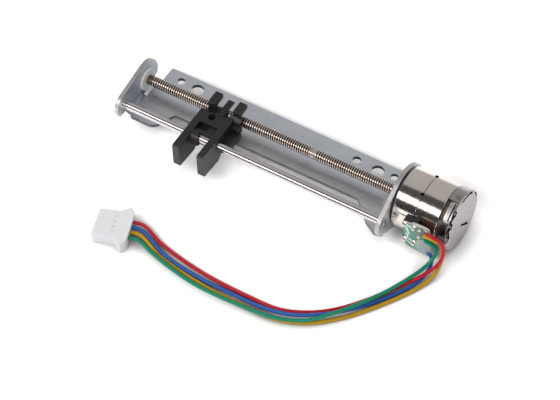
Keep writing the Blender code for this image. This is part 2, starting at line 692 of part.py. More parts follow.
def rotor(datum, ferrite, plastic, steel):
    start, end = rotor_span()
    gap = SEAT_CLEARANCE
    bore = SHAFT_RADIUS + gap
    place(ring("magnet", start, end, HUB_RADIUS + gap, MAGNET_RADIUS), "rotor_magnet", ferrite, datum)
    lip = HUB_RADIUS + HUB_LIP_HEIGHT
    profile = (
        (start - HUB_LIP, bore), (start - HUB_LIP, lip), (start - gap, lip),
        (start - gap, HUB_RADIUS), (end + HUB_LIP, HUB_RADIUS), (end + HUB_LIP, bore),
    )
    place(turned("hub", profile, SMALL_STEPS), "rotor_hub", plastic, datum)
    front = start - HUB_LIP - gap
    rear = end + HUB_LIP + gap
    washer = ring("washer", front - WASHER_THICKNESS, front, bore, WASHER_RADIUS, SMALL_STEPS)
    place(washer, "front_thrust_washer", steel, datum)
    washer = ring("washer", rear, rear + WASHER_THICKNESS, bore, WASHER_RADIUS, SMALL_STEPS)
    place(washer, "rear_thrust_washer", steel, datum)


def bearings(datum, bronze):
    """Two flanged sintered bushes, in the bracket's flange and in the rear cover."""
    start, end = RAIL_SPAN, front_bearing_end()
    bore = SHAFT_RADIUS + RUNNING_CLEARANCE
    collar = FLANGE_OUTER + SEAT_CLEARANCE
    profile = (
        (start, bore), (start, BEARING_RADIUS), (collar, BEARING_RADIUS),
        (collar, BEARING_COLLAR_RADIUS), (end, BEARING_COLLAR_RADIUS), (end, bore),
    )
    place(turned("bearing", profile, SMALL_STEPS), "front_bearing", bronze, datum)
    start = rear_washer_end() + SEAT_CLEARANCE * 2
    end = COVER_OUTER - COVER_SHEET
    bore = PIVOT_RADIUS + RUNNING_CLEARANCE
    lip = end - SEAT_CLEARANCE
    profile = (
        (start, bore), (start, BEARING_RADIUS), (lip - BEARING_COLLAR, BEARING_RADIUS),
        (lip - BEARING_COLLAR, BEARING_COLLAR_RADIUS), (lip, BEARING_COLLAR_RADIUS), (lip, bore),
    )
    place(turned("bearing", profile, SMALL_STEPS), "rear_bearing", bronze, datum)


def slot_outline():
    """The driver slot across the cover's face: a slanted strip in (y, z)."""
    half = COVER_SLOT_WIDTH / 2
    lower = [(y, z - half) for y, z in COVER_SLOT_ENDS]
    upper = [(y, z + half) for y, z in reversed(COVER_SLOT_ENDS)]
    return lower + upper


def rear_cover(datum, steel, brown):
    """A stamped disc with folded tabs that clip it to the rear can, round a brown spacer ring."""
    face = COVER_OUTER - COVER_SHEET
    profile = (
        (face, 0), (face, COVER_RADIUS), (COVER_OUTER - COVER_EDGE, COVER_RADIUS),
        (COVER_OUTER, COVER_RADIUS - COVER_EDGE), (COVER_OUTER, 0),
    )
    cover = turned("cover", profile)
    tab_end = REAR_CAN_END + SEAT_CLEARANCE * 2
    outer = COVER_RADIUS - COVER_TAB_INSET
    inner = COVER_RADIUS - COVER_TAB_THICKNESS
    for middle, half in COVER_TABS:
        outline = arc((0, 0), outer, middle - half, middle + half, 6)
        outline += arc((0, 0), inner, middle + half, middle - half, 6)
        join(cover, prism("tab", outline, "X", tab_end, face + COVER_SHEET / 2))
    cut(
        cover,
        prism("slot", slot_outline(), "X", COVER_OUTER - COVER_SHEET / 2, COVER_OUTER + OVERSHOOT),
        prism("step", rounded(COVER_STEP_OUTLINE), "X", COVER_OUTER - COVER_STEP, COVER_OUTER + OVERSHOOT),
    )
    place(cover, "rear_cover", steel, datum)
    spacer = ring("spacer", REAR_CAN_END + SEAT_CLEARANCE, face - SEAT_CLEARANCE,
                  BEARING_COLLAR_RADIUS + RUNNING_CLEARANCE * 4, SPACER_RADIUS)
    place(spacer, "rear_spacer", brown, datum)


def terminal_block(datum, plastic):
    """The moulded block on the can's side, its face curved to the can and its neck in the window."""
    middle = SEAM + SEAM_GAP / 2
    seat = CAN_RADIUS + SEAT_CLEARANCE
    half_angle = math.degrees(math.asin(BLOCK_TOP / seat))
    outline = arc((0, 0), seat, 180 - half_angle, 180 + half_angle, 10)
    outline += [(-BLOCK_REACH, -BLOCK_TOP), (-BLOCK_REACH, BLOCK_TOP)]
    body = prism("block", outline, "X", middle - BLOCK_WIDTH / 2, middle + BLOCK_WIDTH / 2)
    half_neck, half_height = BLOCK_NECK_WIDTH / 2, BLOCK_NECK_HEIGHT / 2
    root = -(BOBBIN_FLANGE_RADIUS + SEAT_CLEARANCE)
    inside = -(seat + BLOCK_REACH) / 2
    neck = block("neck", (middle - half_neck, inside, -half_height), (middle + half_neck, root, half_height))
    return place(join(body, neck), "terminal_block", plastic, datum)


def pin_places():
    """The four terminal pins, two above each other in each of two columns."""
    middle = SEAM + SEAM_GAP / 2
    for column in (-1, 1):
        for row in (1, -1):
            yield middle + column * PIN_PAIR_SPACING / 2 + PIN_OFFSET, row * PIN_ROW_HALF


def board_and_pins(datum, laminate, brass, solder):
    """The terminal board flat on the block's face, with its four pins and their solder joints."""
    back = -(BLOCK_REACH + SEAT_CLEARANCE)
    front = back - BOARD_THICKNESS
    start = SEAM - BOARD_START_FROM_SEAM
    end = start + BOARD_LENGTH
    corners = (
        (start, BOARD_TOP - BOARD_SLOPE, BOARD_CORNER),
        (start + BOARD_SLOPE, BOARD_SLOPE - BOARD_DROP, BOARD_CORNER * 2),
        (end, -BOARD_DROP, BOARD_CORNER), (end, BOARD_TOP, BOARD_CORNER * 2),
    )
    board = prism("board", rounded(corners), "Y", front, back)
    for x, z in pin_places():
        bore = circle((x, z), PIN_HOLE / 2, PEG_STEPS)
        cut(board, prism("hole", bore, "Y", front - OVERSHOOT, back + OVERSHOOT))
    place(board, "terminal_board", laminate, datum)
    half = PIN_SIDE / 2
    tip = front - PIN_STAND_OUT
    for number, (x, z) in enumerate(pin_places(), 1):
        pin = block("pin", (x - half, tip, z - half), (x + half, back + TOUCH, z + half))
        place(pin, f"terminal_pin_{number}", brass, datum)
        cone = solder_joint(x, z, front - SEAT_CLEARANCE)
        place(cone, f"solder_joint_{number}", solder, datum)


def solder_joint(x, z, face):
    """A small fillet of solder round a pin's tip, standing on the board's pad."""
    hollow = PIN_SIDE * 0.75
    profile = (
        (0, hollow), (0, SOLDER_RADIUS), (-SOLDER_WAIST, SOLDER_WAIST_RADIUS),
        (-SOLDER_HEIGHT, hollow + SEAT_CLEARANCE * 2), (-SOLDER_HEIGHT, hollow),
    )
    cone = turned("solder", profile, PEG_STEPS)
    for vertex in cone.data.vertices:
        along, across, up = vertex.co
        vertex.co = (x - across, face + along, z + up)
    return cone


def sleeve(start, end):
    """The moulded tube round the guide rod, before its bore is cut."""
    return prism("sleeve", circle((-ROD_OFFSET, 0), SLEEVE_RADIUS), "X", start, end)


def finger(start, near):
    """A comb finger: a leg on the screw's near side and a bar that reaches over the screw."""
    top, under = FINGER_TOP, FINGER_TOP - FINGER_THICKNESS
    inner = FINGER_LEG - near
    corners = (
        (-near, 0, 0), (-near, top, FINGER_EDGE), (FINGER_REACH, top, FINGER_TIP_EDGE),
        (FINGER_REACH, under, FINGER_EDGE), (inner, under, FINGER_FILLET), (inner, 0, 0),
    )
    return prism("finger", rounded(corners), "X", start, start + FINGER_WIDTH)


def tongue(start):
    """The short middle finger, a thin tongue level with the slider's top."""
    low = SLIDER_TOP - TONGUE_THICKNESS
    corners = (
        (-SADDLE_FAR_EDGE - OVERSHOOT, low), (TONGUE_REACH, low),
        (TONGUE_REACH, SLIDER_TOP - TONGUE_CHAMFER), (TONGUE_REACH - TONGUE_CHAMFER, SLIDER_TOP),
        (-SLIDER_SLOPE_START, SLIDER_TOP), (-SLIDER_SLOPE_START, low),
    )
    return prism("tongue", corners, "X", start, start + TONGUE_WIDTH)


def arm(start, root):
    """A fork arm: a deep flat blade from the root beside the screw, out past the guide rod."""
    top, bottom = SLIDER_TOP, -ARM_DROP
    corners = (
        (-root, top, 0), (-root, -SLIDER_BLOCK_DROP * 0.5, 0),
        (-RECESS_FAR, -SLIDER_BLOCK_DROP, 0), (-ROD_OFFSET, bottom - ARM_BELLY, 0),
        (-ARM_REACH + ARM_CHAMFER, bottom, 0), (-ARM_REACH, bottom + ARM_CHAMFER, 0),
        (-ARM_REACH, top - ARM_CHAMFER, 0), (-ARM_REACH + ARM_CHAMFER, top, 0),
    )
    return prism("arm", rounded(corners), "X", start, start + ARM_WIDTH)


def saddle(start):
    """The middle of the slider's far edge, a half nut that bears on the screw's near side."""
    outline = (
        (-SLIDER_FAR_EDGE - OVERSHOOT, SLIDER_FAR_TOP), (-SLIDER_FAR_EDGE - OVERSHOOT, 0),
        (-SADDLE_FAR_EDGE, 0), (-SADDLE_FAR_EDGE, SLIDER_FAR_TOP),
    )
    return prism("saddle", outline, "X", start, start + SADDLE_WIDTH)


def shoulder(start):
    """The round shoulder that carries the last finger's leg, turned about the screw."""
    outline = arc((0, 0), SHOULDER_RADIUS, 112, 150, 8)
    outline += [(-SLIDER_FAR_EDGE, 0), (FINGER_LEG - FINGER_THREE_NEAR, 0)]
    return prism("shoulder", outline, "X", start, start + SHOULDER_WIDTH)


def slider_body(start, end):
    """The block between the arms, its top sloping down to the screw, with a shelf beside arm two."""
    section = (
        (-RECESS_NEAR, SLIDER_TOP), (-RECESS_NEAR, -SLIDER_BLOCK_DROP),
        (-SCREW_RADIUS * 2, -SLIDER_BLOCK_DROP), (-SLIDER_FAR_EDGE, -SCREW_RADIUS * 1.3),
        (-SLIDER_FAR_EDGE, SLIDER_FAR_TOP), (-SLIDER_SLOPE_START, SLIDER_TOP),
    )
    body = prism("body", section, "X", start + ARM_WIDTH / 2, end)
    shelf = block("shelf", (end - OVERSHOOT, -SHELF_NEAR, -SLIDER_BLOCK_DROP),
                  (start + SHELF_END, -SHELF_FAR, -SHELF_DROP))
    cheek = block("cheek", (end - OVERSHOOT, -CHEEK_NEAR, -SLIDER_BLOCK_DROP / 2),
                  (start + CHEEK_END, -CHEEK_FAR, CHEEK_TOP))
    return join(body, shelf, cheek)


def slider(datum, plastic):
    """The moulded slider: a block on the rod, comb fingers over the screw and a two-armed fork."""
    start, end = SLIDER_START, SLIDER_START + SLIDER_WIDTH
    second = start + ARM_TWO_START
    body = slider_body(start, end)
    join(body, saddle(start + SADDLE_START), shoulder(start + SHOULDER_START))
    join(
        body,
        finger(start + SADDLE_START, FINGER_ONE_NEAR),
        tongue(start + TONGUE_START),
        finger(start + FINGER_THREE_START, FINGER_THREE_NEAR),
    )
    join(body, arm(start, ARM_ONE_ROOT), arm(second, SLIDER_FAR_EDGE))
    rod_sleeve = sleeve(start + ARM_WIDTH / 2, start + SLEEVE_LENGTH)
    join(body, rod_sleeve, sleeve(second + ARM_WIDTH / 4, second + ARM_WIDTH * 0.75))
    inside = start + ARM_WIDTH
    above_top = SLIDER_TOP + OVERSHOOT
    recess = block("recess", (inside, -RECESS_NEAR - SEAT_CLEARANCE, SLIDER_TOP - RECESS_DEPTH),
                   (second, -RECESS_FAR, above_top))
    well = block("well", (inside + SEAT_CLEARANCE, -WELL_NEAR, SLIDER_TOP - WELL_DEPTH),
                 (inside + WELL_LENGTH, -RECESS_FAR, above_top))
    hole = prism("hole", circle((start + SLIDER_HOLE_PLACE, -SLIDER_HOLE_SETBACK), SLIDER_HOLE / 2),
                 "Z", -ARM_DROP - OVERSHOOT, above_top)
    long = (start - OVERSHOOT, start + SHELF_END + OVERSHOOT)
    rod_bore = prism("bore", circle((-ROD_OFFSET, 0), ROD_RADIUS + RUNNING_CLEARANCE), "X", *long)
    screw_bore = prism("bore", circle((0, 0), SCREW_RADIUS + RUNNING_CLEARANCE), "X", *long)
    cut(body, recess, well, hole, rod_bore, screw_bore)
    return place(body, "slider", plastic, datum, (start + SLIDER_WIDTH / 2, -ROD_OFFSET, 0))


def curve_point(points, share):
    """A point between the middle two of four points, on the centripetal Catmull-Rom curve."""
    knots = [0.0]
    for a, b in zip(points, points[1:]):
        knots.append(knots[-1] + math.sqrt((b - a).length))
    time = knots[1] + share * (knots[2] - knots[1])
    first = [points[i].lerp(points[i + 1], (time - knots[i]) / (knots[i + 1] - knots[i])) for i in range(3)]
    second = [first[i].lerp(first[i + 1], (time - knots[i]) / (knots[i + 2] - knots[i])) for i in range(2)]
    return second[0].lerp(second[1], share)


def smooth_route(points, spacing):
    """Evenly spaced points on a smooth curve through the route's points."""
    knots = [Vector(p) for p in points]
    knots = [knots[0] * 2 - knots[1], *knots, knots[-1] * 2 - knots[-2]]
    fine = [curve_point(knots[i - 1:i + 3], k / CURVE_STEPS)
            for i in range(1, len(knots) - 2) for k in range(CURVE_STEPS)]
    return evenly([*fine, knots[-2]], spacing)


def evenly(fine, spacing):
    lengths = [0.0]
    for a, b in zip(fine, fine[1:]):
        lengths.append(lengths[-1] + (b - a).length)
    count = max(2, round(lengths[-1] / spacing))
    even, at = [], 0
    for k in range(count + 1):
        target = lengths[-1] * k / count
        while at < len(fine) - 2 and lengths[at + 1] < target:
            at += 1
        share = (target - lengths[at]) / (lengths[at + 1] - lengths[at])
        even.append(fine[at].lerp(fine[at + 1], min(1, share)))
    return even


def lead_wire(name, route, material, datum):
    points = smooth_route(route, WIRE_POINT_SPACING)
    curve = bpy.data.curves.new(name, "CURVE")
    curve.dimensions = "3D"
    curve.bevel_depth = WIRE_DIAMETER / 2
    curve.bevel_resolution = 2
    curve.use_fill_caps = True
    spline = curve.splines.new("POLY")
    spline.points.add(len(points) - 1)
    for slot, point in zip(spline.points, points):
        slot.co = (*point, 1)
    curve.materials.append(material)
    wire = bpy.data.objects.new(name, curve)
    bpy.context.scene.collection.objects.link(wire)
    wire.parent = datum
    return wire


def connector(datum, nylon, tin):
    """The crimp housing in its own frame: u from the mating face towards the wires, v across."""
    half, wing = CONNECTOR_WIDTH / 2, CONNECTOR_WING_REACH
    length = CONNECTOR_LENGTH
    side = (
        (0, half), (WING_START, half), (WING_TIP, wing), (WING_END, wing - WING_ROUNDING),
        (length, half - WING_ROUNDING / 4),
    )
    outline = [*((u, -v) for u, v in side), *reversed(side)]
    housing = prism("housing", outline, "Z", 0, CONNECTOR_HEIGHT)
    middle = CONNECTOR_HEIGHT / 2
    reach = CAVITY_SIDE / 2
    window = LATCH_WINDOW / 2
    rows = [CONNECTOR_PITCH * (1.5 - i) for i in range(4)]
    for v in rows:
        cavity = block("cavity", (-OVERSHOOT, v - reach, middle - reach),
                       (length + OVERSHOOT, v + reach, middle + reach))
        latch = block("latch", (LATCH_PLACE, v - window, middle),
                      (LATCH_PLACE + LATCH_LENGTH, v + window, CONNECTOR_HEIGHT + OVERSHOOT))
        cut(housing, cavity, latch)
    place_connector(place(housing, "connector_housing", nylon, datum))
    inset = CONTACT_SIDE / 2
    for number, v in enumerate(rows, 1):
        contact = block("contact", (CONTACT_SETBACK, v - inset, middle - inset),
                        (CONTACT_SETBACK + CONTACT_LENGTH, v + inset, middle + inset))
        bore = block("bore", (0, v - inset * 0.5, middle - inset * 0.5),
                     (CONTACT_SETBACK + CONTACT_LENGTH * 0.6, v + inset * 0.5, middle + inset * 0.5))
        place_connector(place(cut(contact, bore), f"crimp_contact_{number}", tin, datum))


def place_connector(piece):
    """Lay a piece of the connector on the ground, turned as the leads bring it."""
    piece.location = (CONNECTOR_X, CONNECTOR_Y, -FLANGE_RADIUS)
    piece.rotation_euler = (0, 0, CONNECTOR_ANGLE)


def build():
    clear_scene()
    datum = bpy.data.objects.new("slide_datum", None)
    bpy.context.scene.collection.objects.link(datum)
    datum.location = DATUM
    bracket_steel = finish_of("zinc_plated_steel", (0.42, 0.44, 0.48), 0.35, 1)
    chrome = finish_of("polished_rod", (0.72, 0.72, 0.72), 0.12, 1)
    screw_steel = finish_of("rolled_screw_steel", (0.33, 0.29, 0.26), 0.35, 1)
    can_steel = finish_of("nickel_plated_can", (0.6, 0.55, 0.51), 0.22, 1)
    nylon = finish_of("white_nylon", (0.85, 0.85, 0.86), 0.5, 0)
    black = finish_of("black_moulding", (0.02, 0.02, 0.02), 0.5, 0)
    charcoal = finish_of("charcoal_acetal", (0.06, 0.06, 0.065), 0.45, 0)
    copper = finish_of("enamelled_copper", (0.72, 0.33, 0.14), 0.35, 1)
    bronze = finish_of("sintered_bronze", (0.5, 0.33, 0.16), 0.55, 1)
    ferrite = finish_of("ferrite", (0.07, 0.07, 0.07), 0.6, 0)
    brown = finish_of("brown_laminate", (0.2, 0.1, 0.05), 0.6, 0)
    laminate = finish_of("green_solder_mask", (0.02, 0.2, 0.1), 0.3, 0)
    brass = finish_of("tinned_brass", (0.75, 0.65, 0.4), 0.3, 1)
    solder = finish_of("solder", (0.75, 0.75, 0.73), 0.3, 1)
    base_bracket(datum, bracket_steel)
    guide_rod(datum, chrome)
    lead_screw(datum, screw_steel)
    screw_end_bush(datum, nylon)
    stator(datum, can_steel, black, copper)
    rotor(datum, ferrite, black, screw_steel)
    bearings(datum, bronze)
    rear_cover(datum, can_steel, brown)
    terminal_block(datum, black)
    board_and_pins(datum, laminate, brass, solder)
    slider(datum, charcoal)
    leads = {
        "red_lead": (RED_ROUTE, (0.7, 0.02, 0.03)), "green_lead": (GREEN_ROUTE, (0.0, 0.35, 0.2)),
        "blue_lead": (BLUE_ROUTE, (0.02, 0.08, 0.5)), "yellow_lead": (YELLOW_ROUTE, (0.8, 0.5, 0.02)),
    }
    for name, (route, colour) in leads.items():
        lead_wire(name, route, finish_of(name, colour, 0.4, 0), datum)
    connector(datum, nylon, brass)


build()
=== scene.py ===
"""Finish, light and camera for the stepper motor linear slide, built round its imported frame.

Metres, +Z up. Meshes are modelled in the slide's own datum and placed by it: x runs along the
screw from the end plate's inner face towards the motor, y and z are measured from the screw's
axis, and the guide rod lies on the -y side.
"""

import math

import bmesh
import bpy
from mathutils import Matrix, Vector

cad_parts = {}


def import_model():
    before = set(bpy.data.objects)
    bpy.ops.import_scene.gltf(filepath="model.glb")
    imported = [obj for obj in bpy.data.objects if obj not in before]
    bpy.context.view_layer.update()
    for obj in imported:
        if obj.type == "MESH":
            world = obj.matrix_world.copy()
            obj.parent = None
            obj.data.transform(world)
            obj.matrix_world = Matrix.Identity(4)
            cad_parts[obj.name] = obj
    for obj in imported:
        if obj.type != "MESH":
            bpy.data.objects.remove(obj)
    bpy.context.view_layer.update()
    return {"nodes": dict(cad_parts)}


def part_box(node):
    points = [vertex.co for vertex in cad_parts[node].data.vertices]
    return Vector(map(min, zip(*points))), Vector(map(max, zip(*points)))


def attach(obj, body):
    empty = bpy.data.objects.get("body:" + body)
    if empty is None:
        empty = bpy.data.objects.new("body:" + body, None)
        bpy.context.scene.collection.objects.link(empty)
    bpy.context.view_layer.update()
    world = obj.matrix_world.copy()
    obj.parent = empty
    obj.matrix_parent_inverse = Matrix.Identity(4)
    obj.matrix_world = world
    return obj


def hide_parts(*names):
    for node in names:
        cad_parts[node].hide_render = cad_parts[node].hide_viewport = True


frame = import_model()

# Camera, which looks at the slide from the photograph's place
CAMERA_PLACE = (0.2088, -0.3246, 0.4850)
CAMERA_AZIMUTH = math.radians(33.191)
CAMERA_ELEVATION = math.radians(51.953)
CAMERA_ROLL = math.radians(-2.523)
CAMERA_LENS = 167.3

# The bracket's sheet, and a level between the base and the end plates' cut edges
SHEET = 0.001
ABOVE_BASE = -0.003

# Roundings of edges
BRACKET_ROUNDING = 0.00012
MOULDING_ROUNDING = 0.0001
BUSH_ROUNDING = 0.00008
BOARD_ROUNDING = 0.00004

# The screw: its thread's form, then the plain lengths at its ends
SCREW_PITCH = 0.0006
THREAD_CREST_SHARE = 0.42
THREAD_ROOT_SHARE = 0.34
THREAD_ROOT_RADIUS = 0.00088
THREAD_SWELL = 0.00005
THREAD_STEPS = 24
THREAD_START = 0.0021
COLLAR_START = 0.0007
COLLAR_RADIUS = 0.0012
SHAFT_RADIUS = 0.00098
PIVOT_RADIUS = 0.00075
REAR_PIVOT_LENGTH = 0.002
OVERLAP = 0.0001

# The rod and the cans
ROD_EDGE = 0.0003
CAN_EDGE = 0.0003
CAN_LIP_EDGE = 0.0001
CAN_WALL = 0.0004
CAN_END_WALL = 0.0006
CAN_BORE_RADIUS = 0.0032

# The connector's place and its latch windows, whose pads lie a little below the top
CONNECTOR_ANGLE = math.radians(18.5)
CONNECTOR_X = 0.0112
CONNECTOR_Y = -0.0397
CONNECTOR_PITCH = 0.0015
LATCH_START = 0.0042
LATCH_LENGTH = 0.0008
LATCH_WIDTH = 0.00048
LATCH_LEVEL = -0.00485

# Stripes stand out by a rise to both sides, and a lump's radii waver by a share
STRIPE_RISE = 0.00002
LUMP_WAVER = 0.08

# Points nearer than this are one, faces that meet at less than the first angle are one, and
# edges over the second are corners
MERGE = 1e-7
FLAT_ANGLE = math.radians(0.3)
CORNER_ANGLE = math.radians(35)

# Shares of a face's normal on an axis: facing along it, steep enough for a side, and turned to
# the camera's side
FACING = 0.5
STEEP = 0.8
CAMERA_SIDE = -0.2

# The middle span of a noise, which is spread from the lower value to the upper
NOISE_SPAN = (0.3, 0.7)

# The leads' routes, from the solder joint to the cavity in the connector, and their lengths
WIRE_DIAMETER = 0.0009
RED_ROUTE = (
    (0.0829, -0.0099, 0.0035), (0.0844, -0.0099, 0.0033), (0.0858, -0.0094, 0.0023),
    (0.0869, -0.0093, 0.0006), (0.0873, -0.0097, -0.0016), (0.0870, -0.0107, -0.0037),
    (0.0859, -0.0121, -0.0054), (0.0845, -0.0145, -0.0061), (0.0822, -0.0174, -0.0071),
    (0.0790, -0.0220, -0.0075), (0.0754, -0.0272, -0.0075), (0.0715, -0.0318, -0.0075),
    (0.0666, -0.0356, -0.0075), (0.0604, -0.0382, -0.0075), (0.0523, -0.0387, -0.0075),
    (0.0391, -0.0382, -0.0075), (0.0271, -0.0361, -0.0073), (0.0205, -0.0342, -0.0063),
    (0.0162, -0.0357, -0.0063),
)
GREEN_ROUTE = (
    (0.0824, -0.0099, 0.0006), (0.0837, -0.0099, 0.0004), (0.0848, -0.0096, -0.0006),
    (0.0853, -0.0094, -0.0023), (0.0850, -0.0103, -0.0039), (0.0843, -0.0120, -0.0052),
    (0.0832, -0.0145, -0.0059), (0.0815, -0.0184, -0.0061), (0.0794, -0.0227, -0.0062),
    (0.0759, -0.0294, -0.0055), (0.0721, -0.0346, -0.0055), (0.0678, -0.0386, -0.0062),
    (0.0613, -0.0414, -0.0064), (0.0546, -0.0422, -0.0065), (0.0419, -0.0426, -0.0066),
    (0.0336, -0.0415, -0.0066), (0.0263, -0.0398, -0.0064), (0.0220, -0.0385, -0.0063),
    (0.0176, -0.0399, -0.0063),
)
BLUE_ROUTE = (
    (0.0814, -0.0099, -0.0026), (0.0827, -0.0099, -0.0026), (0.0838, -0.0099, -0.0034),
    (0.0844, -0.0099, -0.0048), (0.0847, -0.0106, -0.0062), (0.0846, -0.0128, -0.0071),
    (0.0838, -0.0160, -0.0075), (0.0820, -0.0199, -0.0075), (0.0788, -0.0249, -0.0075),
    (0.0739, -0.0314, -0.0068), (0.0687, -0.0361, -0.0064), (0.0635, -0.0389, -0.0065),
    (0.0573, -0.0398, -0.0072), (0.0493, -0.0399, -0.0075), (0.0401, -0.0399, -0.0075),
    (0.0291, -0.0384, -0.0073), (0.0210, -0.0356, -0.0063), (0.0167, -0.0371, -0.0063),
)
YELLOW_ROUTE = (
    (0.0822, -0.0099, 0.0023), (0.0836, -0.0099, 0.0023), (0.0849, -0.0095, 0.0017),
    (0.0858, -0.0089, 0.0006), (0.0865, -0.0088, -0.0009), (0.0868, -0.0092, -0.0029),
    (0.0869, -0.0102, -0.0051), (0.0866, -0.0129, -0.0066), (0.0853, -0.0163, -0.0074),
    (0.0826, -0.0213, -0.0075), (0.0787, -0.0273, -0.0075), (0.0741, -0.0331, -0.0075),
    (0.0685, -0.0380, -0.0075), (0.0617, -0.0409, -0.0075), (0.0523, -0.0414, -0.0075),
    (0.0417, -0.0412, -0.0075), (0.0287, -0.0393, -0.0074), (0.0215, -0.0370, -0.0063),
    (0.0171, -0.0385, -0.0063),
)
RED_LENGTH = 0.0953
GREEN_LENGTH = 0.0923
BLUE_LENGTH = 0.0913
YELLOW_LENGTH = 0.0982

# Lines on the cover's face, in (y, z), with their widths; all but the scratch are painted shade
RIDGE_LINE = (
    (-0.0031, 0.0066), (-0.0028, 0.00574), (-0.0033, 0.00533), (-0.0046, 0.0056),
    (-0.0051, 0.00515), (-0.00546, 0.00469), (-0.00484, 0.00342), (-0.00513, 0.00255),
    (-0.00614, 0.00306), (-0.0065, 0.0026), (-0.00639, 0.00115), (-0.00625, -0.0001),
)
SLIT_LINE = ((0.0048, 0.0052), (0.0036, 0.0061), (0.002, 0.0066), (0.001, 0.0067), (0.0, 0.0067))
SLOT_LINE = ((-0.0003, -0.0015), (0.0013, -0.0029), (0.003, -0.0044))
RIM_LINE = ((0.0062, 0.0037), (0.0067, 0.0027), (0.0070, 0.0017))
SCRATCH_LINE = ((0.0035, -0.0006), (0.0048, -0.0016))
RIDGE_WIDTH = 0.0005
SLIT_WIDTH = 0.0006
SLOT_WIDTH = 0.0005
RIM_WIDTH = 0.0004
SCRATCH_WIDTH = 0.0002

# Tinned strokes on the terminal board's face, in (x, z)
BOARD_STROKES = (
    ((0.0769, 0.0031), (0.0774, 0.0018), (0.0778, 0.0006), (0.0781, -0.0003)),
    ((0.0776, 0.0026), (0.0781, 0.0027), (0.0785, 0.0023)),
    ((0.0774, -0.0003), (0.0778, -0.0011), (0.0774, -0.0021)),
    ((0.0777, -0.0021), (0.0783, -0.0021), (0.0789, -0.0024)),
    ((0.0776, -0.003), (0.0782, -0.0034), (0.0788, -0.0036), (0.0792, -0.0041)),
    ((0.0817, 0.0039), (0.0823, 0.0036), (0.0828, 0.0032)),
)
STROKE_WIDTH = 0.00042

# The cover's skirt, a run of flat steps round the screw's axis, in degrees
SKIRT_INNER_RADIUS = 0.0069
SKIRT_STEP = 3

# The floor: how far it reaches, its depth under the part, its tone and its soft shade's reach
FLOOR_REACH = 3.0
FLOOR_DEPTH = 0.00003
FLOOR_LEVEL = 0.88
FLOOR_SHADE_REACH = 0.005

# The studio's brightness by its angle in degrees, its tint, and the soft light
STUDIO_LEVELS = (
    (-180, 0.6), (-90, 0.6), (-1, 0.56), (4, 0.11), (31, 0.07), (36, 1.4), (52, 1.4), (58, 0.06),
    (88, 0.05), (97, 0.4), (180, 0.45),
)
STUDIO_TINT = (1, 0.985, 0.965)
SOFT_BOX_PLACE = (-0.1, -0.45, 0.45)
SOFT_BOX_SIZE = (1.3, 0.2)
SOFT_BOX_ENERGY = 3.2

# The screw's radius and the slide's datum, from the frame
BRACKET_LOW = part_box("base_bracket")[0]
SCREW_LOW, SCREW_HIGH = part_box("lead_screw")
SCREW_RADIUS = (SCREW_HIGH.z - SCREW_LOW.z) / 2
DATUM = Vector((
    BRACKET_LOW.x + SHEET,
    (SCREW_LOW.y + SCREW_HIGH.y) / 2,
    (SCREW_LOW.z + SCREW_HIGH.z) / 2,
))


def span(node):
    """A node's two corners, measured from the datum."""
    low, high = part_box(node)
    return low - DATUM, high - DATUM


# Camera and curves


def camera():
    """A camera on the photograph's line of sight, with its roll and field of view."""
    level = math.cos(CAMERA_ELEVATION)
    back = Vector((
        math.sin(CAMERA_AZIMUTH) * level, -math.cos(CAMERA_AZIMUTH) * level,
        math.sin(CAMERA_ELEVATION),
    ))
    right = Vector((0, 0, 1)).cross(back).normalized()
    up = back.cross(right)
    view = Matrix((right, up, back)).transposed() @ Matrix.Rotation(CAMERA_ROLL, 3, "Z")
    lens = bpy.data.cameras.new("camera")
    lens.lens = CAMERA_LENS
    lens.clip_start = 0.01
    seat = bpy.data.objects.new("camera", lens)
    seat.matrix_world = Matrix.Translation(CAMERA_PLACE) @ view.to_4x4()
    bpy.context.scene.collection.objects.link(seat)
    bpy.context.scene.camera = seat


def curve_point(points, share):
    """A point between the middle two of four points, on a smooth curve that takes tight turns."""
    knots = [0.0]
    for a, b in zip(points, points[1:]):
        knots.append(knots[-1] + math.sqrt((b - a).length))
    time = knots[1] + share * (knots[2] - knots[1])
    first = [
        points[i].lerp(points[i + 1], (time - knots[i]) / (knots[i + 1] - knots[i]))
        for i in range(3)
    ]
    second = [
        first[i].lerp(first[i + 1], (time - knots[i]) / (knots[i + 2] - knots[i]))
        for i in range(2)
    ]
    return second[0].lerp(second[1], share)


def smooth_route(route, steps=8):
    """The route's points with smooth ones between them."""
    points = [Vector(p) for p in route]
    points = [points[0] * 2 - points[1], *points, points[-1] * 2 - points[-2]]
    fine = [
        curve_point(points[i:i + 4], k / steps)
        for i in range(len(points) - 3)
        for k in range(steps)
    ]
    return [*fine, points[-2]]


# Meshes


def finished(bm, name, material, body, *nodes, smooth=35):
    """Makes the shape a piece at the datum, which rides on the body and replaces the nodes.

    Smooth is the angle in degrees under which neighbouring faces are shaded as one.
    """
    bmesh.ops.recalc_face_normals(bm, faces=bm.faces)
    mesh = bpy.data.meshes.new(name)
    bm.to_mesh(mesh)
    bm.free()
    mesh.materials.append(material)
    mesh.shade_smooth()
    mesh.set_sharp_from_angle(angle=math.radians(smooth))
    piece = bpy.data.objects.new(name, mesh)
    piece.location = DATUM
    bpy.context.scene.collection.objects.link(piece)
    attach(piece, body)
    if nodes:
        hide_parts(*nodes)
    return piece


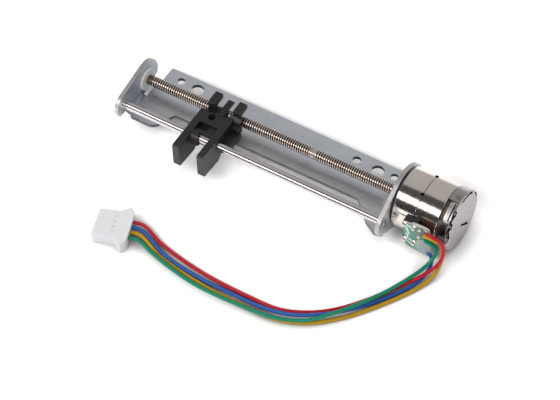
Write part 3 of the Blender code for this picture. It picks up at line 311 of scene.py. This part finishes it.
def dressed(node, material, body, rounding=0.0, others=()):
    """A node's own shape with rounded edges, as a finer piece in its place.

    Others are pairs of a material and a test that picks the faces which wear it.
    """
    bm = bmesh.new()
    bm.from_mesh(frame["nodes"][node].data)
    bmesh.ops.remove_doubles(bm, verts=bm.verts, dist=MERGE)
    bmesh.ops.dissolve_limit(bm, angle_limit=FLAT_ANGLE, verts=bm.verts, edges=bm.edges)
    if rounding:
        edges = [e for e in bm.edges if e.is_manifold and e.calc_face_angle() > CORNER_ANGLE]
        bmesh.ops.bevel(
            bm, geom=edges, offset=rounding, segments=2, profile=0.5, affect="EDGES",
            clamp_overlap=True,
        )
    bmesh.ops.translate(bm, verts=bm.verts, vec=-DATUM)
    bm.normal_update()
    for slot, (_, picks) in enumerate(others, 1):
        for face in bm.faces:
            if picks(face.calc_center_median(), face.normal):
                face.material_index = slot
    piece = finished(bm, node + "_finish", material, body, node)
    for other, _ in others:
        piece.data.materials.append(other)
    flatten = piece.modifiers.new("Flat faces", "WEIGHTED_NORMAL")
    flatten.keep_sharp = True
    return piece


def turned(bm, profile, steps=96, centre=(0, 0), slot=0):
    """Adds a solid turned about a line along x: the profile is a closed loop of (x, radius)."""
    rings = []
    for x, radius in profile:
        if radius < MERGE:
            rings.append([bm.verts.new((x, *centre))] * steps)
            continue
        angles = (math.tau * k / steps for k in range(steps))
        rings.append([
            bm.verts.new((x, centre[0] + radius * math.cos(a), centre[1] + radius * math.sin(a)))
            for a in angles
        ])
    for i, ring in enumerate(rings):
        after = rings[(i + 1) % len(rings)]
        for k in range(steps):
            corners = (ring[k], ring[(k + 1) % steps], after[(k + 1) % steps], after[k])
            unique = list(dict.fromkeys(corners))
            if len(unique) > 2:
                bm.faces.new(unique).material_index = slot


def closed(bm, rings):
    """Skins four-cornered rings into a closed bar."""
    for a, b in zip(rings, rings[1:]):
        for k in range(4):
            bm.faces.new((a[k], a[k - 1], b[k - 1], b[k]))
    bm.faces.new(rings[0])
    bm.faces.new(rings[-1])


def ribbon(name, points, width, along, material):
    """A thin flat stripe through points in one plane, whose normal is the unit vector along."""
    points = [Vector(p) for p in points]
    normal = Vector(along)
    bm = bmesh.new()
    rings = []
    lift = normal * STRIPE_RISE
    for i, point in enumerate(points):
        run = points[min(i + 1, len(points) - 1)] - points[max(i - 1, 0)]
        side = normal.cross(run).normalized() * width / 2
        corners = (side + lift, lift - side, -side - lift, side - lift)
        rings.append([bm.verts.new(point + corner) for corner in corners])
    closed(bm, rings)
    return finished(bm, name, material, "frame")


def lump(name, centre, radii, material, body="frame"):
    """A smooth, slightly uneven blob, such as a drop of glue or a dent's shade."""
    bm = bmesh.new()
    bmesh.ops.create_icosphere(bm, subdivisions=3, radius=1.0)
    for vertex in bm.verts:
        x, z = vertex.co.x, vertex.co.z
        wave = 1 + LUMP_WAVER * math.sin(5 * x + 3 * z) * math.cos(4 * z)
        vertex.co = Vector(c + r * v * wave for c, r, v in zip(centre, radii, vertex.co))
    return finished(bm, name, material, body, smooth=180)


# Materials


def principled(name, colour, roughness, metallic=0.0, specular=0.5, alpha=1.0):
    """A material with its plain values, which textures may then vary."""
    material = bpy.data.materials.new(name)
    material.use_nodes = True
    shader = material.node_tree.nodes["Principled BSDF"]
    shader.inputs["Base Color"].default_value = (*colour, 1)
    shader.inputs["Roughness"].default_value = roughness
    shader.inputs["Metallic"].default_value = metallic
    shader.inputs["Specular IOR Level"].default_value = specular
    shader.inputs["Alpha"].default_value = alpha
    return material


def noise_of(material, scale, detail, stretch=(1, 1, 1)):
    """A noise texture in the object's own metres; the scale is in features per metre."""
    nodes, links = material.node_tree.nodes, material.node_tree.links
    place = nodes.new("ShaderNodeTexCoord")
    squeeze = nodes.new("ShaderNodeMapping")
    squeeze.inputs["Scale"].default_value = stretch
    texture = nodes.new("ShaderNodeTexNoise")
    texture.inputs["Scale"].default_value = scale
    texture.inputs["Detail"].default_value = detail
    links.new(place.outputs["Object"], squeeze.inputs["Vector"])
    links.new(squeeze.outputs["Vector"], texture.inputs["Vector"])
    return texture


def ramp(material, source, socket, low, high):
    """Drives a shader socket with two values or colours, mixed by a texture."""
    nodes, links = material.node_tree.nodes, material.node_tree.links
    band = nodes.new("ShaderNodeValToRGB")
    for point, place, value in zip(band.color_ramp.elements, NOISE_SPAN, (low, high)):
        point.position = place
        point.color = (*value, 1) if isinstance(value, tuple) else (value, value, value, 1)
    links.new(source.outputs[0], band.inputs["Fac"])
    links.new(band.outputs["Color"], nodes["Principled BSDF"].inputs[socket])


def bump(material, source, height):
    """Fine relief from a texture, its height in metres."""
    nodes, links = material.node_tree.nodes, material.node_tree.links
    relief = nodes.new("ShaderNodeBump")
    relief.inputs["Distance"].default_value = height
    relief.inputs["Strength"].default_value = 1.0
    links.new(source.outputs[0], relief.inputs["Height"])
    links.new(relief.outputs["Normal"], nodes["Principled BSDF"].inputs["Normal"])


def clouded(material, colour, variation, scale, detail):
    """Makes the colour a little darker and lighter in soft clouds."""
    low, high = (tuple(c * factor for c in colour) for factor in (1 - variation, 1 + variation))
    ramp(material, noise_of(material, scale, detail), "Base Color", low, high)


def metal(name, colour, roughness, variation=0.08, grain=2500, relief=0.000004, stretch=(1, 1, 1)):
    """A plated or machined metal: cloudy tone, uneven polish and a fine grain."""
    material = principled(name, colour, roughness, metallic=1.0)
    clouded(material, colour, variation, scale=260, detail=4)
    rub = noise_of(material, scale=900, detail=3, stretch=stretch)
    ramp(material, rub, "Roughness", low=roughness * 0.8, high=roughness * 1.25)
    bump(material, noise_of(material, grain, detail=2, stretch=stretch), relief)
    return material


def plastic(name, colour, roughness, variation=0.06, grain=5000, relief=0.000003, **plain):
    """A moulding: slightly uneven tone and a fine spark-eroded skin."""
    material = principled(name, colour, roughness, **plain)
    clouded(material, colour, variation, scale=400, detail=3)
    bump(material, noise_of(material, grain, detail=2), relief)
    return material


def insulation(name, colour, variation=0.05):
    """A lead's skin, duller than a moulding and a little uneven."""
    return plastic(
        name, colour, roughness=0.3, variation=variation, grain=2200, relief=0.000008,
        specular=0.25,
    )


ZINC = metal("zinc_plate", (0.6, 0.63, 0.68), 0.4, 0.05, 3500, 0.000006, (0.06, 1, 1))
# Painted shade: a darker copy of the zinc for the base's cut sides towards the camera
PAINTED_BASE_SHADE = metal("painted_base_shade", (0.15, 0.145, 0.15), 0.6, 0.12, 3500, 0.000006)
SHEARED_STEEL = metal("sheared_steel", (0.52, 0.5, 0.5), 0.5, 0.12, 3500, 0.000006)
CHROME = metal("ground_rod", (0.58, 0.55, 0.55), 0.07, 0.02, 6000, 0.0000006, (0.1, 1, 1))
SCREW_STEEL = metal("rolled_thread", (0.58, 0.5, 0.45), 0.32, 0.1, 5000, 0.000003)
# Painted shade for the thread's flanks and roots, also worn by the plain collar
THREAD_SHADE_AND_DARK_COLLAR = metal("thread_shade_and_dark_collar", (0.16, 0.125, 0.105), 0.4, 0.1, 5000, 0.000003)
NICKEL = metal("nickel_can", (0.66, 0.6, 0.56), 0.12, 0.03, 2200, 0.000013)
COVER_STEEL = metal("stamped_cover", (0.36, 0.34, 0.345), 0.3, 0.04, 6000, 0.000004)
BRONZE = metal("sintered_bronze", (0.5, 0.33, 0.16), 0.5, 0.1, 6000, 0.00001)
TIN = metal("tinned_contact", (0.72, 0.68, 0.6), 0.25, 0.05)
SOLDER = metal("solder", (0.74, 0.73, 0.72), 0.16, 0.05, 2000, 0.00001)
COPPER = metal("enamelled_copper", (0.72, 0.33, 0.14), 0.3, 0.05, 4000, 0.00002, (0.2, 1, 1))
# Painted shade: a flat near-black put in slits, grooves, steps and dents
SHADE = principled("painted_gap_shade", (0.004, 0.004, 0.004), 1.0, specular=0.0)
BLACK = plastic("black_moulding", (0.012, 0.012, 0.013), 0.35)
CHARCOAL = plastic("charcoal_acetal", (0.0095, 0.009, 0.011), 0.45, 0.12, 4000, 0.000004)
NYLON = plastic("white_nylon", (0.86, 0.85, 0.89), 0.45, 0.015)
BUSH_WHITE = plastic("bush_acetal", (0.74, 0.74, 0.74), 0.4, 0.03)
FERRITE = plastic("ferrite", (0.06, 0.06, 0.06), 0.6, 0.1)
BROWN = plastic("brown_laminate", (0.07, 0.045, 0.028), 0.5, 0.3)
LAMINATE = plastic("solder_mask", (0.08, 0.31, 0.235), 0.28, 0.2, 1500, 0.000006)
BOARD_EDGE = plastic("board_edge", (0.5, 0.5, 0.45), 0.4, 0.15, 2500, 0.000008)
BOARD_BACK = plastic("bare_laminate", (0.16, 0.08, 0.05), 0.45, 0.15)
BRIGHT_TIN = plastic("tinned_stroke", (0.85, 0.85, 0.85), 0.2, 0.1, 2500, 0.00001)
GLUE = plastic("clear_glue", (0.7, 0.72, 0.68), 0.08, 0.1, 900, 0.00004, alpha=0.5)
GREASE = plastic("clear_grease", (0.7, 0.7, 0.7), 0.15, 0.05, 900, 0.00004, alpha=0.5)
FLUX = plastic("flux_glue", (0.3, 0.29, 0.22), 0.1, 0.2, 900, 0.00005, alpha=0.5)
WIRE_RED = insulation("red_insulation", (0.52, 0.009, 0.024), 0.04)
WIRE_GREEN = insulation("green_insulation", (0.003, 0.25, 0.14))
WIRE_BLUE = insulation("blue_insulation", (0.025, 0.11, 0.42))
WIRE_YELLOW = insulation("yellow_insulation", (0.52, 0.31, 0.008))

# What the pieces inside the motor wear, in their own shapes
INNER_FINISHES = {
    "front_yoke": NICKEL, "rear_yoke": NICKEL, "front_bobbin": BLACK, "rear_bobbin": BLACK,
    "front_winding": COPPER, "rear_winding": COPPER, "rotor_magnet": FERRITE, "rotor_hub": BLACK,
    "front_thrust_washer": TIN, "rear_thrust_washer": TIN, "front_bearing": BRONZE,
    "rear_bearing": BRONZE, "rear_spacer": BROWN,
}


# Pieces


def lead(name, route, material):
    """One insulated lead from its solder joint to its cavity in the connector, and its start."""
    points = smooth_route(route)
    curve = bpy.data.curves.new(name + "_wire", "CURVE")
    curve.dimensions = "3D"
    curve.bevel_depth = WIRE_DIAMETER / 2
    curve.bevel_resolution = 5
    curve.use_fill_caps = True
    spline = curve.splines.new("POLY")
    spline.points.add(len(points) - 1)
    for slot, point in zip(spline.points, points):
        slot.co = (*(point + DATUM), 1)
    curve.materials.append(material)
    wire = bpy.data.objects.new(name + "_wire", curve)
    bpy.context.scene.collection.objects.link(wire)
    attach(wire, "frame")
    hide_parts(name)
    return wire, points[0] + DATUM


def leads(pieces):
    """The four leads, each from its solder joint to its cavity in the connector."""
    rows = (
        ("red_lead", RED_ROUTE, RED_LENGTH, WIRE_RED),
        ("green_lead", GREEN_ROUTE, GREEN_LENGTH, WIRE_GREEN),
        ("blue_lead", BLUE_ROUTE, BLUE_LENGTH, WIRE_BLUE),
        ("yellow_lead", YELLOW_ROUTE, YELLOW_LENGTH, WIRE_YELLOW),
    )
    for name, route, length, material in rows:
        wire, start = lead(name, route, material)


def thread(bm, start, end):
    """Adds a rolled right-hand thread from start to end, with flat crests and flat roots."""
    crest = SCREW_PITCH * THREAD_CREST_SHARE
    root = SCREW_PITCH * THREAD_ROOT_SHARE
    flank = (SCREW_PITCH - crest - root) / 2
    crown = SCREW_RADIUS + THREAD_SWELL
    profile = (
        (0, crown), (crest, crown), (crest + flank, THREAD_ROOT_RADIUS),
        (crest + flank + root, THREAD_ROOT_RADIUS),
    )

    def vertex(step, level):
        """A point of the profile on its way round, which runs out at the thread's two ends."""
        angle = math.tau * step / THREAD_STEPS
        x = start + SCREW_PITCH * (step / THREAD_STEPS - 1) + profile[level][0]
        radius = profile[level][1]
        if not start < x < end:
            x = min(max(x, start), end)
            radius = THREAD_ROOT_RADIUS
        return bm.verts.new((x, radius * math.cos(angle), radius * math.sin(angle)))

    levels = len(profile)
    turns = math.ceil((end - start) / SCREW_PITCH) + 2
    grid = [
        [vertex(step, level) for level in range(levels)] for step in range(THREAD_STEPS * turns)
    ]
    # Crests wear the screw's steel, flanks and roots the painted shade
    for step in range(THREAD_STEPS * (turns - 1) - 1):
        here, beside = grid[step], grid[step + 1]
        for level in range(levels - 1):
            corners = (here[level], beside[level], beside[level + 1], here[level + 1])
            bm.faces.new(corners).material_index = min(level, 1)
        next_turn, next_beside = grid[step + THREAD_STEPS], grid[step + THREAD_STEPS + 1]
        corners = (here[-1], beside[-1], next_beside[0], next_turn[0])
        bm.faces.new(corners).material_index = 1
    bmesh.ops.remove_doubles(bm, verts=bm.verts, dist=MERGE)
    loose = [v for v in bm.verts if not v.link_faces]
    bmesh.ops.delete(bm, geom=loose, context="VERTS")


def lead_screw():
    """The screw with its thread, plain collar, motor shaft and end pivots."""
    start, end = THREAD_START, span("base_bracket")[1].x - SHEET
    low, high = span("lead_screw")
    pivot = high.x - REAR_PIVOT_LENGTH
    bm = bmesh.new()
    thread(bm, start, end)
    # The plain collar wears the darker material that paints the thread's shade
    turned(bm, (
        (low.x, 0), (low.x, PIVOT_RADIUS), (COLLAR_START, PIVOT_RADIUS),
        (COLLAR_START, COLLAR_RADIUS), (start + OVERLAP, COLLAR_RADIUS), (start + OVERLAP, 0),
    ), slot=1)
    turned(bm, (
        (end - OVERLAP, 0), (end - OVERLAP, SHAFT_RADIUS), (pivot, SHAFT_RADIUS),
        (pivot, PIVOT_RADIUS), (high.x, PIVOT_RADIUS), (high.x, 0),
    ))
    screw = finished(bm, "threaded_screw", SCREW_STEEL, "rotor_screw", "lead_screw", smooth=25)
    screw.data.materials.append(THREAD_SHADE_AND_DARK_COLLAR)


def guide_rod():
    """The ground rod with its chamfered ends."""
    low, high = span("guide_rod")
    radius = (high.z - low.z) / 2
    profile = (
        (low.x, 0), (low.x, radius - ROD_EDGE), (low.x + ROD_EDGE, radius),
        (high.x - ROD_EDGE, radius), (high.x, radius - ROD_EDGE), (high.x, 0),
    )
    bm = bmesh.new()
    turned(bm, profile, 64, ((low.y + high.y) / 2, 0))
    finished(bm, "ground_guide_rod", CHROME, "frame", "guide_rod", smooth=25)


def motor_cans():
    """The two drawn cups, each with a drawn radius at its closed end."""
    for node, closed_end in (("front_can", 0), ("rear_can", 1)):
        low, high = span(node)
        radius = high.z
        ends = (low.x, high.x)
        shut, lip = ends[closed_end], ends[1 - closed_end]
        inward = 1 if lip > shut else -1
        # A quarter turn in six steps
        corner = [
            (shut + inward * CAN_EDGE * (1 - math.sin(a)), radius - CAN_EDGE * (1 - math.cos(a)))
            for a in (math.radians(90 - 15 * k) for k in range(7))
        ]
        inside = shut + inward * CAN_END_WALL
        profile = [
            (shut, CAN_BORE_RADIUS), *corner, (lip - inward * CAN_LIP_EDGE, radius),
            (lip, radius - CAN_LIP_EDGE), (lip, radius - CAN_WALL), (inside, radius - CAN_WALL),
            (inside, CAN_BORE_RADIUS),
        ]
        bm = bmesh.new()
        turned(bm, profile, 128)
        finished(bm, node + "_shell", NICKEL, "frame", node, smooth=30)


def is_sheared(centre, normal):
    """Picks the cut edges of the two upright plates."""
    return centre.z > ABOVE_BASE and abs(normal.x) < FACING


def is_painted_base_shade(centre, normal):
    """Picks the base's cut sides towards the camera: in the part's own shade, they wear painted
    shade.
    """
    return centre.z < ABOVE_BASE and abs(normal.z) < STEEP and normal.y < CAMERA_SIDE


def is_board_edge(centre, normal):
    """Picks the terminal board's cut edges."""
    return abs(normal.y) < FACING


def is_board_back(centre, normal):
    """Picks the terminal board's bare face towards the can."""
    return normal.y > FACING


def material_to_node(node, material):
    """Gives a node of the frame a better material and leaves its shape."""
    data = frame["nodes"][node].data
    data.materials.clear()
    data.materials.append(material)


def cover_marks():
    """Lines on the cover's face: painted shade along its stepped edge, slits and rim, and a
    scratch.
    """
    face = span("rear_cover")[1].x
    marks = (
        ("ridge_painted_shade", RIDGE_LINE, RIDGE_WIDTH, SHADE),
        ("slit_painted_shade", SLIT_LINE, SLIT_WIDTH, SHADE),
        ("slot_painted_shade", SLOT_LINE, SLOT_WIDTH, SHADE),
        ("rim_painted_shade", RIM_LINE, RIM_WIDTH, SHADE),
        ("scratch_line", SCRATCH_LINE, SCRATCH_WIDTH, COVER_STEEL),
    )
    for name, line, width, material in marks:
        ribbon(name, [(face, y, z) for y, z in line], width, (1, 0, 0), material)


def board_marks():
    """Tinned strokes on the board and the glue that covers its solder joints and lead ends."""
    face = span("terminal_board")[0].y
    for number, line in enumerate(BOARD_STROKES, 1):
        points = [(x, face - STRIPE_RISE, z) for x, z in line]
        ribbon(f"tinned_stroke_{number}", points, STROKE_WIDTH, (0, -1, 0), BRIGHT_TIN)
    # Each drop's x, its depth behind the face, z, radii and material
    drops = (
        ("upper_glue", 0.0812, -0.0002, 0.0021, (0.00135, 0.0005, 0.0019), FLUX),
        ("lower_glue", 0.0821, -0.0003, -0.0023, (0.0022, 0.0008, 0.0024), GLUE),
        ("edge_glue", 0.0812, 0.0001, 0.0044, (0.0024, 0.00025, 0.0004), GLUE),
        ("glue_drop_1", 0.0810, -0.0004, 0.0032, (0.00034, 0.0003, 0.0004), BRIGHT_TIN),
        ("glue_drop_2", 0.0808, -0.0004, 0.0006, (0.00042, 0.0003, 0.0004), BRIGHT_TIN),
    )
    for name, x, depth, z, radii, material in drops:
        lump(name, (x, face + depth, z), radii, material)


def can_marks():
    """Painted shade in the can's stake mark and seam dimple, and a drop of grease on the thread.
    """
    # Each mark's place, radii, material and body
    marks = (
        # The stake mark and the seam dimple are dark lumps of painted shade
        ("stake_mark_painted_shade", (0.0780, 0.0038, 0.0065), (0.0005, 0.0004, 0.00012), SHADE, "frame"),
        ("seam_dimple_painted_shade", (0.0778, -0.0027, 0.0070), (0.0004, 0.00045, 0.0002), SHADE, "frame"),
        ("grease", (0.0470, 0, 0), (0.0015, 0.00128, 0.00128), GREASE, "rotor_screw"),
    )
    for name, place, radii, material, body in marks:
        lump(name, place, radii, material, body)


def cover_skirt():
    """The cover's pressed skirt, which leaves only a slit of the brown spacer beside the can."""
    low, high = span("rear_cover")
    # Each plate's ends along x, its outer radius, its first and last degree, and its material
    plates = (
        ("skirt_wall", low.x + 0.0011, high.x - 0.0007, 0.0072, 99, 141, SHEARED_STEEL),
        ("skirt_bead", low.x + 0.0009, low.x + 0.0013, 0.00735, 102, 138, SHEARED_STEEL),
        # The groove is a dark band of painted shade
        ("skirt_groove_painted_shade", high.x - 0.0011, high.x - 0.0008, 0.00723, 102, 138, SHADE),
    )
    for name, start, end, outer, first, last, material in plates:
        inner = SKIRT_INNER_RADIUS
        corners = ((start, inner), (start, outer), (end, outer), (end, inner))
        bm = bmesh.new()
        rings = []
        for degrees in range(first, last + 1, SKIRT_STEP):
            c, s = math.cos(math.radians(degrees)), math.sin(math.radians(degrees))
            rings.append([bm.verts.new((x, r * c, r * s)) for x, r in corners])
        closed(bm, rings)
        finished(bm, name, material, "frame")


def latches():
    """The connector's four latch windows, each closed by a pad a little below the surface.

    In the connector's own frame u runs along it and v across it, from its middle.
    """
    c, s = math.cos(CONNECTOR_ANGLE), math.sin(CONNECTOR_ANGLE)
    pads = []
    for number in range(4):
        v = CONNECTOR_PITCH * (1.5 - number)
        ends = [
            (CONNECTOR_X + u * c - v * s, CONNECTOR_Y + u * s + v * c, LATCH_LEVEL)
            for u in (LATCH_START, LATCH_START + LATCH_LENGTH)
        ]
        pads.append(ribbon(f"latch_pad_{number + 1}", ends, LATCH_WIDTH, (0, 0, 1), NYLON))
    return pads


# Light and stage


def maths(tree, operation, first, second):
    """A maths node's outcome, from two sockets or plain values."""
    node = tree.nodes.new("ShaderNodeMath")
    node.operation = operation
    for slot, source in zip(node.inputs, (first, second)):
        if isinstance(source, (int, float)):
            slot.default_value = source
        else:
            tree.links.new(source, slot)
    return node.outputs[0]


def floor():
    """A plain pale floor: white to the camera and in reflections, and it keeps the shadow.

    The rays that see it get both layers, and so twice the light that it sends on.
    """
    mesh = bpy.data.meshes.new("floor")
    r = FLOOR_REACH
    mesh.from_pydata([(-r, -r, 0), (r, -r, 0), (r, r, 0), (-r, r, 0)], [], [(0, 1, 2, 3)])
    ground = bpy.data.objects.new("floor", mesh)
    ground.location.z = -FLOOR_DEPTH
    bpy.context.scene.collection.objects.link(ground)
    material = bpy.data.materials.new("pale_floor")
    material.use_nodes = True
    nodes, links = material.node_tree.nodes, material.node_tree.links
    nodes.clear()
    out = nodes.new("ShaderNodeOutputMaterial")
    lit = nodes.new("ShaderNodeBsdfDiffuse")
    paler = nodes.new("ShaderNodeBsdfDiffuse")
    for shader in (lit, paler):
        open_sky = nodes.new("ShaderNodeAmbientOcclusion")
        open_sky.inputs["Color"].default_value = (FLOOR_LEVEL, FLOOR_LEVEL, FLOOR_LEVEL, 1)
        open_sky.inputs["Distance"].default_value = FLOOR_SHADE_REACH
        links.new(open_sky.outputs["Color"], shader.inputs["Color"])
    both = nodes.new("ShaderNodeAddShader")
    choice = nodes.new("ShaderNodeMixShader")
    links.new(lit.outputs[0], both.inputs[0])
    links.new(paler.outputs[0], both.inputs[1])
    links.new(seen_rays(material.node_tree), choice.inputs["Fac"])
    links.new(lit.outputs[0], choice.inputs[1])
    links.new(both.outputs[0], choice.inputs[2])
    links.new(choice.outputs[0], out.inputs["Surface"])
    mesh.materials.append(material)


def seen_rays(tree):
    """One for camera, glossy and transmission rays, and zero for the rays that only light."""
    path = tree.nodes.new("ShaderNodeLightPath")
    seen = path.outputs["Is Camera Ray"]
    for name in ("Is Glossy Ray", "Is Transmission Ray"):
        seen = maths(tree, "MAXIMUM", seen, path.outputs[name])
    return seen


def world():
    """A studio: a pale wall behind, and on the camera's side a dark room with a bright band.

    The brightness goes by the ray's angle from straight up, positive on the camera's side.
    """
    studio = bpy.data.worlds.new("studio")
    bpy.context.scene.world = studio
    studio.use_nodes = True
    nodes, links = studio.node_tree.nodes, studio.node_tree.links
    nodes.clear()
    out = nodes.new("ShaderNodeOutputWorld")
    place = nodes.new("ShaderNodeTexCoord")
    parts = nodes.new("ShaderNodeSeparateXYZ")
    links.new(place.outputs["Generated"], parts.inputs[0])
    forward = maths(studio.node_tree, "MULTIPLY", parts.outputs["Y"], -1)
    angle = maths(studio.node_tree, "ARCTAN2", forward, parts.outputs["Z"])
    share = nodes.new("ShaderNodeMapRange")
    share.inputs["From Min"].default_value = -math.pi
    share.inputs["From Max"].default_value = math.pi
    links.new(angle, share.inputs["Value"])
    band = nodes.new("ShaderNodeValToRGB")
    stops = band.color_ramp
    for degrees, level in STUDIO_LEVELS[1:-1]:
        point = stops.elements.new((degrees + 180) / 360)
        point.color = (*(level * tint for tint in STUDIO_TINT), 1)
    for end in (0, -1):
        level = STUDIO_LEVELS[end][1]
        stops.elements[end].color = (level, level, level, 1)
    links.new(share.outputs["Result"], band.inputs["Fac"])
    lit = nodes.new("ShaderNodeBackground")
    links.new(band.outputs["Color"], lit.inputs["Color"])
    links.new(lit.outputs[0], out.inputs["Surface"])


def soft_box():
    """A wide, shallow light on the camera's side, as high as it is far off."""
    lamp = bpy.data.lights.new("soft_box", "AREA")
    lamp.shape = "RECTANGLE"
    lamp.size, lamp.size_y = SOFT_BOX_SIZE
    lamp.energy = SOFT_BOX_ENERGY
    seat = bpy.data.objects.new("soft_box", lamp)
    seat.location = SOFT_BOX_PLACE
    seat.rotation_euler = (-seat.location).to_track_quat("-Z", "Y").to_euler()
    bpy.context.scene.collection.objects.link(seat)


# Build

camera()
world()
floor()
soft_box()
bpy.context.scene.view_settings.view_transform = "Standard"

for node, material in INNER_FINISHES.items():
    material_to_node(node, material)
# The base's cut sides towards the camera wear painted shade
dressed("base_bracket", ZINC, "frame", BRACKET_ROUNDING, (
    (SHEARED_STEEL, is_sheared), (PAINTED_BASE_SHADE, is_painted_base_shade),
))
dressed("screw_end_bush", BUSH_WHITE, "frame", BUSH_ROUNDING)
dressed("rear_cover", COVER_STEEL, "frame")
cover_marks()
cover_skirt()
dressed("terminal_block", BLACK, "frame", MOULDING_ROUNDING)
dressed("terminal_board", LAMINATE, "frame", BOARD_ROUNDING, (
    (BOARD_EDGE, is_board_edge), (BOARD_BACK, is_board_back),
))
board_marks()
dressed("slider", CHARCOAL, "carriage", MOULDING_ROUNDING)
for number in range(1, 5):
    material_to_node(f"terminal_pin_{number}", TIN)
    dressed(f"solder_joint_{number}", SOLDER, "frame")
    material_to_node(f"crimp_contact_{number}", TIN)
housing = dressed("connector_housing", NYLON, "frame", MOULDING_ROUNDING)
contacts = [frame["nodes"][f"crimp_contact_{number}"] for number in range(1, 5)]
lead_screw()
guide_rod()
motor_cans()
can_marks()
leads([housing, *contacts, *latches()])
